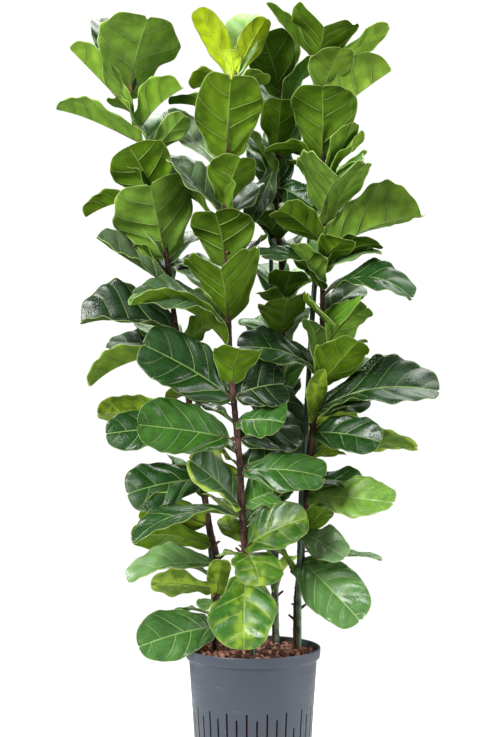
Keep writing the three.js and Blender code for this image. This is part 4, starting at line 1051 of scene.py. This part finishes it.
def stem(key):
    """The whole of one stem without its leaves."""
    heap, line = Heap(), STEMS[key]
    add_bar(heap, line, len(key))
    rise, radius = np.array(BUD).T
    bud = (np.array(line[-1]) + np.stack([rise * 0.1, rise * -0.05, rise], -1)) * MM
    points, sides, caps = tube(bud, radius * MM, SIDEWAYS, 10)
    heap.add(points, [sides, caps], [1, 1], stem_share=1.0)
    for name, *stub in STUBS:
        if name == key:
            add_stub(heap, line, *stub)
    add_scales(heap, key, line)
    heap.make("stem_" + key, [young_bark, dry_scale])


# %% Bark and scale finishes
def bark_finish(name, dark, light, tip_colour, rough):
    """Young bark: dark brown with paler, redder patches and pale scars, and greener towards the tip."""
    material, tree, place = new_material(name)
    share = add(tree, "Attribute", {"attribute_name": "stem_share"}).outputs["Fac"]
    streak = add(tree, "Mapping", None, {"Vector": place, "Scale": (1.0, 1.0, 0.35)})
    patch = add(tree, "TexNoise", None,
                {"Vector": streak, "Scale": 1 / (9 * MM), "Detail": 4.0, "Roughness": 0.65})
    grain = add(tree, "TexNoise", None, {"Vector": streak, "Scale": 1 / (1.6 * MM), "Detail": 3.0})
    patch = add(tree, "MapRange", SMOOTH, [patch, 0.42, 0.68, 0.0, 1.0])
    colour = add(tree, "Mix", COLOURS, {0: patch, 6: rgb(dark), 7: rgb(light)})
    scars = add(tree, "SeparateXYZ", None, {0: place}).outputs["Z"]
    scars = add(tree, "Math", "FRACT", [add(tree, "Math", "DIVIDE", [scars, RING_STEP * MM])])
    scars = add(tree, "Math", "ABSOLUTE", [add(tree, "Math", "SUBTRACT", [scars, 0.5])])
    scars = add(tree, "MapRange", SMOOTH, [scars, 0.03, 0.1, 0.5, 0.0])
    colour = add(tree, "Mix", COLOURS, {0: scars, 6: colour, 7: rgb(light)})
    tip = add(tree, "MapRange", SMOOTH, [share, 0.88, 1.0, 0.0, 0.8])
    colour = add(tree, "Mix", COLOURS, {0: tip, 6: colour, 7: rgb(tip_colour)})
    bump = add(tree, "Bump", None, {"Strength": 0.7, "Distance": 0.8 * MM, "Height": grain})
    shader = add(tree, "BsdfPrincipled", None, {
        "Base Color": colour, "Roughness": rough, "Normal": bump, "Specular IOR Level": 0.3})
    add(tree, "OutputMaterial", None, {"Surface": shader})
    return material


young_bark = bark_finish("young_bark", "#2b1d19", "#69463a", "#5a6b2c", 0.72)
dry_scale = bark_finish("dry_scale", "#4a3324", "#86674a", "#8b7a3c", 0.6)
for key in STEMS:
    stem(key)

# %% [markdown]
# ## Stakes
# The stakes are thin rods with a green plastic coat, moulded with a small collar every few centimetres. The
# coat is satin and a little dusty near the pot, so it turns lighter and greyer at the foot.

# %% Coated stakes
COLLAR_STEP, COLLAR_SPREAD = 62, 0.022  # millimetres between collars, and their share of it


def stake_finish():
    """Green polythene coat with fine lengthwise lines, dusty and paler towards the foot."""
    material, tree, place = new_material("green_coated_stake")
    height = add(tree, "SeparateXYZ", None, {0: place}).outputs["Z"]
    streak = add(tree, "Mapping", None, {"Vector": place, "Scale": (1.0, 1.0, 0.04)})
    lines = add(tree, "TexNoise", None, {"Vector": streak, "Scale": 1 / (1.2 * MM), "Detail": 2.0})
    dust = add(tree, "TexNoise", None, {"Vector": place, "Scale": 1 / (14 * MM), "Detail": 4.0})
    low = add(tree, "MapRange", SMOOTH, [height, 0.17, 0.42, 0.9, 0.0])
    dust = add(tree, "MapRange", SMOOTH, [dust, 0.3, 0.6, 0.0, 1.0])
    share = add(tree, "Math", "MULTIPLY", [low, dust])
    coat = add(tree, "Mix", COLOURS, {0: lines, 6: rgb("#14261c"), 7: rgb("#2f4a36")})
    colour = add(tree, "Mix", COLOURS, {0: share, 6: coat, 7: rgb("#6c8563")})
    bump = add(tree, "Bump", None, {"Strength": 0.4, "Distance": 0.3 * MM, "Height": lines})
    shader = add(tree, "BsdfPrincipled", None, {"Base Color": colour, "Roughness": 0.45, "Normal": bump})
    add(tree, "OutputMaterial", None, {"Surface": shader})
    return material


def stake(key):
    """A bar with a low collar at regular heights and a round tip."""
    radius, line = STAKES[key].values()
    z = np.linspace(line[0][2], line[-1][2], int((line[-1][2] - line[0][2]) / 2.5))
    collar = np.exp(-((((z / COLLAR_STEP) % 1) - 0.5) / COLLAR_SPREAD) ** 2)
    end = np.sqrt(np.clip((line[-1][2] - z) / (1.5 * radius), 0.02, 1))
    thick = radius * (0.96 + 0.12 * collar) * end
    points, sides, caps = tube(along_line(line, z) * MM, thick * MM, SIDEWAYS, 16)
    piece("rod_" + key, points, [sides, caps], [green_coated_stake], slot="stake_coating",
          replaced="stake_" + key)


green_coated_stake = stake_finish()
for key in STAKES:
    stake(key)

# %% [markdown]
# ## Pot
# The grow pot is injection moulded polypropylene: a thin wall with a slight draft, a deep lip that stiffens
# it, and a ring of narrow slots. Its section is one closed outline, turned round the axis. Where a slot is,
# the faces of the outer and the inner skin are left out, and small walls join the two skins round the
# opening.

# %% Pot profile
BASE_RADIUS, NECK_RADIUS, LIP_RADIUS, LIP_BOTTOM = 92.3, 103.6, 109.5, 173
WALL, FLOOR = 2.0, 3.0
SLOT_COUNT, SLOT_WIDTH, SLOT_FIRST = 38, 3.0, -86.4
MIDDLE_RADIUS = 98  # of the wall half way up, where a slot is as wide as that
SLOT_BOTTOM, SLOT_LONG, SLOT_SHORT, SLOT_ODD, ODD_SLOT = 14, 101, 91, 75, 4
SLOT_END = 1.5  # height of a slot's rounded end
SLOT_PINCH = 0.35  # share of its width that is left at the very end
SHARP_ABOVE = 38  # degrees between faces, above which an edge is shaded sharp
OTHER_COLUMNS = (2.9, 5.2, 7.5)  # degrees from a slot's middle to the plain columns before the next slot


def wall_radius(z):
    """Outer radius of the pot's wall at a height: a straight draft."""
    return BASE_RADIUS + (NECK_RADIUS - BASE_RADIUS) * (z / LIP_BOTTOM)


tops = [SLOT_ODD, SLOT_SHORT, SLOT_LONG]
ends = [top - SLOT_END for top in tops]
between = [4, 9, 25, 40, 55, 112, 125, 140, 155, 166]
levels = np.array(sorted({*between, SLOT_BOTTOM, SLOT_BOTTOM + SLOT_END, *tops, *ends}), float)
underside = [(r, 0.0) for r in (0.01, 20, 45, 70, 84)]
foot = [(BASE_RADIUS - 1.6, 0), (BASE_RADIUS - 0.5, 0.5), (BASE_RADIUS, 1.6)]
outer = [(wall_radius(z), z) for z in levels]
lip = [
    (NECK_RADIUS - 0.15, 171.5), (NECK_RADIUS + 0.4, 172.6), (LIP_RADIUS - 2.4, 173.0),
    (LIP_RADIUS - 1.6, 173.6), (LIP_RADIUS - 1.2, 175.0), (LIP_RADIUS - 0.8, 180.0),
    (LIP_RADIUS - 0.2, 187.0), (LIP_RADIUS - 0.1, 188.6), (LIP_RADIUS - 0.7, 189.7),
    (LIP_RADIUS - 1.6, 190.0), (LIP_RADIUS - 2.4, 189.6), (LIP_RADIUS - 3.0, 188.4),
    (LIP_RADIUS - 3.4, 180.0), (NECK_RADIUS + 1.2, 174.0), (NECK_RADIUS - WALL, 170.0),
]
inner = [(wall_radius(z) - WALL, z) for z in levels[::-1]]
bottom = [(BASE_RADIUS - WALL - 0.6, FLOOR + 0.4)] + [(r, FLOOR) for r in (84, 60, 30, 0.01)]
profile = np.array(underside + foot + outer + lip + inner + bottom)
first_out = len(underside + foot)
first_in = first_out + len(outer + lip)
print("pot section of", len(profile), "points")

# %% [markdown]
# A slot lies between two columns of the turned grid, 3 mm apart. Its rounded ends come from pinching those
# two columns together in the first and last row of the slot, and in the rows of the inner skin across from
# them.

# %% The pot with its slots
def pot():
    """Turned section: radius and height from the profile, angle from the columns, less the faces of slots."""
    half_slot = math.degrees(SLOT_WIDTH / 2 / MIDDLE_RADIUS)
    turn = SLOT_FIRST + 360 / SLOT_COUNT * np.arange(SLOT_COUNT)[:, None]
    angle = np.radians((turn + np.array([-half_slot, half_slot, *OTHER_COLUMNS])).ravel())
    rows, columns = len(profile), len(angle)
    each = columns // SLOT_COUNT
    grid_angle = np.repeat(angle[None], rows, 0)
    kept = np.ones((rows - 1, columns), bool)
    numbers = np.arange(rows * columns).reshape(rows, columns)
    across = np.arange(rows)  # for a row of the outer skin, the row of the inner skin at the same height
    across[first_out:first_out + len(levels)] = first_in + len(levels) - 1 - np.arange(len(levels))
    bridges = []
    for k in range(SLOT_COUNT):
        top = SLOT_ODD if k == ODD_SLOT else SLOT_LONG if k % 2 else SLOT_SHORT
        low, high = (first_out + int(np.searchsorted(levels, z)) for z in (SLOT_BOTTOM, top))
        c = each * k
        middle = (angle[c] + angle[c + 1]) / 2
        for row in (low, high, across[low], across[high]):
            grid_angle[row, c:c + 2] = middle + SLOT_PINCH * (angle[c:c + 2] - middle)
        kept[low:high, c] = False
        kept[across[high]:across[low], c] = False
        out = np.arange(low, high + 1)
        ring = np.concatenate([numbers[out, c], numbers[out[::-1], c + 1]])
        ring_in = np.concatenate([numbers[across[out], c], numbers[across[out[::-1]], c + 1]])
        bridges.append(np.stack([ring, np.roll(ring, -1), np.roll(ring_in, -1), ring_in], -1))
    r, z = profile[:, :1], np.repeat(profile[:, 1:], columns, 1)
    points = np.stack([r * np.cos(grid_angle), r * np.sin(grid_angle), z], -1).reshape(-1, 3) * MM
    faces = quads(np.hstack([numbers, numbers[:, :1]])).reshape(rows - 1, columns, 4)[kept]
    made = piece("grow_pot", points, [faces, *bridges], [moulded_polypropylene], slot="pot_plastic",
                 replaced="pot")
    made.data.set_sharp_from_angle(angle=math.radians(SHARP_ABOVE))


# %% [markdown]
# ## Pot plastic
# Polypropylene with a little grey-blue dye, from a mould that was spark-eroded to a fine grain: satin, IOR
# 1.49, roughness about 0.45. Handling leaves faint level scuffs, and dust from the clay clings round the
# slots.

# %% Moulded polypropylene
def pot_finish():
    """Blue-grey plastic with faint flow clouds, level scuffs and a fine eroded grain."""
    material, tree, place = new_material("moulded_polypropylene")
    level = add(tree, "Mapping", None, {"Vector": place, "Scale": (1.0, 1.0, 6.0)})
    cloud = add(tree, "TexNoise", None, {"Vector": place, "Scale": 1 / (60 * MM), "Detail": 2.0})
    grain = add(tree, "TexNoise", None, {"Vector": place, "Scale": 1 / (0.9 * MM), "Detail": 2.0})
    scuff = add(tree, "TexNoise", None,
                {"Vector": level, "Scale": 1 / (40 * MM), "Detail": 6.0, "Roughness": 0.7})
    colour = add(tree, "Mix", COLOURS, {0: cloud, 6: rgb("#363d48"), 7: rgb("#424954")})
    scuffed = add(tree, "MapRange", SMOOTH, [scuff, 0.6, 0.8, 0.0, 0.35])
    colour = add(tree, "Mix", COLOURS, {0: scuffed, 6: colour, 7: rgb("#8d95a1")})
    dust = add(tree, "TexNoise", None, {"Vector": place, "Scale": 1 / (9 * MM), "Detail": 4.0})
    height = add(tree, "SeparateXYZ", None, {0: place}).outputs["Z"]
    dust = add(tree, "MapRange", SMOOTH, [dust, 0.55, 0.75, 0.0, 0.3])
    low = add(tree, "MapRange", SMOOTH, [height, 0.02, 0.11, 1.0, 0.0])
    dusty = add(tree, "Math", "MULTIPLY", [dust, low])
    colour = add(tree, "Mix", COLOURS, {0: dusty, 6: colour, 7: rgb("#6d5a50")})
    rough = add(tree, "MapRange", SMOOTH, [scuff, 0.3, 0.7, 0.4, 0.55])
    bump = add(tree, "Bump", None, {"Strength": 0.25, "Distance": 0.12 * MM, "Height": grain})
    shader = add(tree, "BsdfPrincipled", None, {
        "Base Color": colour, "Roughness": rough, "Normal": bump, "IOR": 1.49})
    add(tree, "OutputMaterial", None, {"Surface": shader})
    return material


moulded_polypropylene = pot_finish()
pot()

# %% [markdown]
# ## Clay chunks
# The pot is full of broken fired clay, in mauve browns and brick reds. The bed is one body with a rough top
# and a rough side that shows in the slots. On it lie some seven hundred loose chunks, 6 to 17 mm long. They
# all come from one rounded block of 24 faces that is stretched, turned and dented by draws, all at once as
# one big array.

# %% The bed
SOIL_TOP = 182
BED_STEP = 4.0  # millimetres between the heights of its side
BED_SIDES, BED_RINGS = 192, 40


def bed():
    """Closed body that follows the pot's inside. Sums of waves raise and lower its top and dent its side."""
    edge = wall_radius(SOIL_TOP) - WALL - 1.0
    angle = np.linspace(0, 2 * np.pi, BED_SIDES + 1)[:-1]
    r, a = np.meshgrid(np.linspace(0.5, edge, BED_RINGS), angle, indexing="ij")
    x, y = r * np.cos(a), r * np.sin(a)
    wave = np.sin(x / 4.1 + 2 * np.sin(y / 6.3)) + np.sin(y / 3.7 + 2 * np.sin(x / 5.1))
    top = np.stack([x, y, SOIL_TOP - 4.2 + 1.0 * wave - 3.5 * (r / edge) ** 8], -1)[::-1]
    height, a = np.meshgrid(np.arange(FLOOR + 1, 170, BED_STEP), angle, indexing="ij")
    dent = 1 + np.sin(31 * a + 2.4 * np.sin(height / 5.3)) * np.sin(height / 2.9 + 2.1 * np.sin(17 * a))
    around = wall_radius(height) - WALL - 0.6 - 1.3 * dent
    side = np.stack([around * np.cos(a), around * np.sin(a), height], -1)
    floor = np.stack([0.5 * np.cos(angle), 0.5 * np.sin(angle), 0 * angle + FLOOR + 0.5], -1)[None]
    grid = np.concatenate([floor, side, top])
    rows, columns = grid.shape[:2]
    numbers = np.arange(rows * columns).reshape(rows, columns)
    closing = [numbers[0][::-1].reshape(1, -1), numbers[-1].reshape(1, -1)]
    skin = quads(np.hstack([numbers, numbers[:, :1]]))
    # painted shade: the bed takes the darkest clay tone, for the shade inside the slots and between the
    # chunks
    tone = {"grain_tone_and_bed_shade": np.full(rows * columns, 0.12)}
    piece("grain_bed", grid.reshape(-1, 3) * MM, [skin, *closing], [fired_clay], attributes=tone,
          slot="granulate", replaced="substrate")


# %% Loose chunks
GRAIN_STEP = 7.0  # millimetres between the chunks of the first layer
SECOND_LAYER = 210  # chunks drawn for the thinner layer above it
GRAIN_HALF = (2.6, 5.2)  # least and greatest half size in millimetres


def block_grain():
    """Points and faces of a cube with two faces along each edge, pushed half way out to a ball."""
    u, v = np.meshgrid([-1.0, 0, 1], [-1.0, 0, 1], indexing="ij")
    one = np.ones_like(u)
    sides = [(one, u, v), (-one, v, u), (v, one, u), (u, -one, v), (u, v, one), (v, u, -one)]
    points = np.concatenate([np.stack(p, -1).reshape(-1, 3) for p in sides])
    faces = np.concatenate([quads(np.arange(9).reshape(3, 3) + 9 * i)[:, ::-1] for i in range(6)])
    shared, numbers = np.unique(np.round(points, 3), axis=0, return_inverse=True)
    return shared * 0.5 + unit(shared) * 0.6, numbers.reshape(-1)[faces]


def grain_places(rng):
    """Middles of the chunks: a jittered grid and a thinner second layer, clear of stems and stakes."""
    edge = wall_radius(SOIL_TOP) - WALL - 5
    span = np.arange(-edge, edge, GRAIN_STEP)
    x, y = np.meshgrid(span, span, indexing="ij")
    first = np.stack([(x + (np.arange(len(span)) % 2)[None] * GRAIN_STEP / 2).ravel(), y.ravel()], -1)
    place = np.concatenate([first + rng.normal(0, 1.5, first.shape),
                            rng.uniform(-edge, edge, (SECOND_LAYER, 2))])
    height = np.repeat([SOIL_TOP - 2.6, SOIL_TOP + 1.6], [len(first), SECOND_LAYER])
    feet = [(line[0], STEM_FOOT_RADIUS) for line in STEMS.values()]
    feet += [(stake["line"][0], stake["radius"]) for stake in STAKES.values()]
    clear = np.hypot(*place.T) < edge
    for foot_at, room in feet:
        clear &= np.hypot(place[:, 0] - foot_at[0], place[:, 1] - foot_at[1]) > room + 3.5
    return place[clear], height[clear]


def grains():
    """Block times size, dented, turned by a random rotation and moved to its place."""
    rng = np.random.default_rng(5)
    place, height = grain_places(rng)
    count = len(place)
    block, faces = block_grain()
    size = rng.uniform(*GRAIN_HALF, (count, 1, 1)) * rng.uniform(0.6, 1.1, (count, 1, 3))
    shape = block[None] * size * (1 + rng.normal(0, 0.13, (count, len(block), 1)))
    turn = np.linalg.qr(rng.normal(size=(count, 3, 3)))[0]
    turn *= np.sign(np.linalg.det(turn))[:, None, None]
    shape = shape @ turn.transpose(0, 2, 1)
    centre = np.concatenate([place, (height + rng.normal(0, 1.2, count))[:, None]], -1)
    points = (shape + centre[:, None]).reshape(-1, 3)
    numbers = (faces[None] + (np.arange(count) * len(block))[:, None, None]).reshape(-1, 4)
    tone = {"grain_tone_and_bed_shade": np.repeat(rng.uniform(0, 1, count), len(block))}
    piece("clay_grains", points * MM, [numbers], [fired_clay], attributes=tone, slot="granulate")


# %% Fired clay
def clay_finish():
    """Fired clay: each chunk has its own tone from dark umber to dusty brick, and the bed the darkest, as
    painted shade; open-pored, roughness 0.85.
    """
    material, tree, place = new_material("fired_clay")
    tone = add(tree, "Attribute", {"attribute_name": "grain_tone_and_bed_shade"}).outputs["Fac"]
    pore = add(tree, "TexNoise", None, {"Vector": place, "Scale": 1 / (1.1 * MM), "Detail": 4.0})
    spot = add(tree, "TexVoronoi", None, {"Vector": place, "Scale": 1 / (6 * MM)}).outputs["Color"]
    spot = add(tree, "SeparateXYZ", None, {0: spot}).outputs["X"]
    stops = [(0.0, "#24120f"), (0.3, "#472a22"), (0.62, "#6f463a"), (0.86, "#8c5b4a"), (1.0, "#b08672")]
    tone = add(tree, "Math", "MULTIPLY_ADD", [spot, 0.3, tone])
    ramp = add(tree, "ValToRGB", {"stops": stops}, {"Fac": tone})
    value = add(tree, "MapRange", SMOOTH, [pore, 0.3, 0.7, 0.7, 1.15])
    colour = add(tree, "HueSaturation", None, {"Value": value, "Color": ramp})
    bump = add(tree, "Bump", None, {"Strength": 0.8, "Distance": 0.5 * MM, "Height": pore})
    shader = add(tree, "BsdfPrincipled", None, {
        "Base Color": colour, "Roughness": 0.85, "Normal": bump, "Specular IOR Level": 0.25})
    add(tree, "OutputMaterial", None, {"Surface": shader})
    return material


fired_clay = clay_finish()
bed()
grains()

# %% [markdown]
# ## Floor, light and picture
# The photograph is a studio cut-out on white. A pale floor, a white surround and large soft lamps give the
# same light: one high in front on the left, one overhead and a little behind that draws the sheen on the
# leaves, and a weak one on the right. Near the pot the floor is paper that takes a shadow, and further out
# it glows as white as the surround, so no horizon shows. The surround is bright to the camera and dimmer as
# a light.

# %% Floor
WHITE_SEEN, WHITE_AS_LIGHT = 1.05, 0.32
PAPER_TO, GLOW_FROM = 0.35, 1.1  # metres from the pot's axis


def paper_finish():
    """White paper that fades into a plain white glow with distance from the pot."""
    material, tree, place = new_material("studio_paper")
    away = add(tree, "VectorMath", {"operation": "LENGTH"}, {0: place})
    share = add(tree, "MapRange", SMOOTH, [away.outputs["Value"], PAPER_TO, GLOW_FROM, 0.0, 1.0])
    paper = add(tree, "BsdfDiffuse", None, {"Color": rgb("#f4f4f4")})
    seen = add(tree, "LightPath").outputs["Is Camera Ray"]
    strength = add(tree, "MapRange", None, {"Value": seen, "To Min": WHITE_AS_LIGHT, "To Max": WHITE_SEEN})
    glow = add(tree, "Emission", None, {"Strength": strength})
    both = add(tree, "MixShader", None, {0: share, 1: paper.outputs[0], 2: glow.outputs[0]})
    add(tree, "OutputMaterial", None, {"Surface": both})
    return material


FLOOR_HALF = 12.0  # metres from its middle to each edge

mesh = bpy.data.meshes.new("studio_floor")
corners = [(x * FLOOR_HALF, y * FLOOR_HALF, 0) for x, y in ((-1, -1), (1, -1), (1, 1), (-1, 1))]
mesh.from_pydata(corners, [], [(0, 1, 2, 3)])
mesh.materials.append(paper_finish())
floor = bpy.data.objects.new("studio_floor", mesh)
bpy.context.scene.collection.objects.link(floor)

# %% Lamps and surround
# name, place, aimed at, size in metres, watts
LAMPS = [
    ("key", (-2.2, -1.9, 2.1), (0, 0, 0.6), 1.4, 152),
    ("overhead", (0.2, 0.7, 2.7), (0, 0, 0.7), 2.3, 117),
    ("fill", (2.7, -0.7, 1.0), (0, 0, 0.5), 1.6, 62),
]


def lamp(name, place, target, size, power):
    """A square soft lamp that looks at a point."""
    data = bpy.data.lights.new(name, "AREA")
    data.size, data.energy = size, power
    made = bpy.data.objects.new(name, data)
    bpy.context.scene.collection.objects.link(made)
    made.location = place
    back = np.array(place) - np.array(target)
    tilt, turn = math.atan2(math.hypot(back[0], back[1]), back[2]), math.atan2(back[1], back[0])
    made.rotation_euler = (tilt, 0, turn + math.pi / 2)


for row in LAMPS:
    lamp(*row)

world = bpy.data.worlds.new("white_surround")
bpy.context.scene.world = world
world.use_nodes = True
world.node_tree.nodes.clear()
seen = add(world.node_tree, "LightPath").outputs["Is Camera Ray"]
strength = add(world.node_tree, "MapRange", None,
               {"Value": seen, "To Min": WHITE_AS_LIGHT, "To Max": WHITE_SEEN})
surround = add(world.node_tree, "Background", None, {"Color": (1, 1, 1, 1), "Strength": strength})
add(world.node_tree, "OutputWorld", None, {"Surface": surround})
bpy.context.scene.view_settings.view_transform = "Standard"
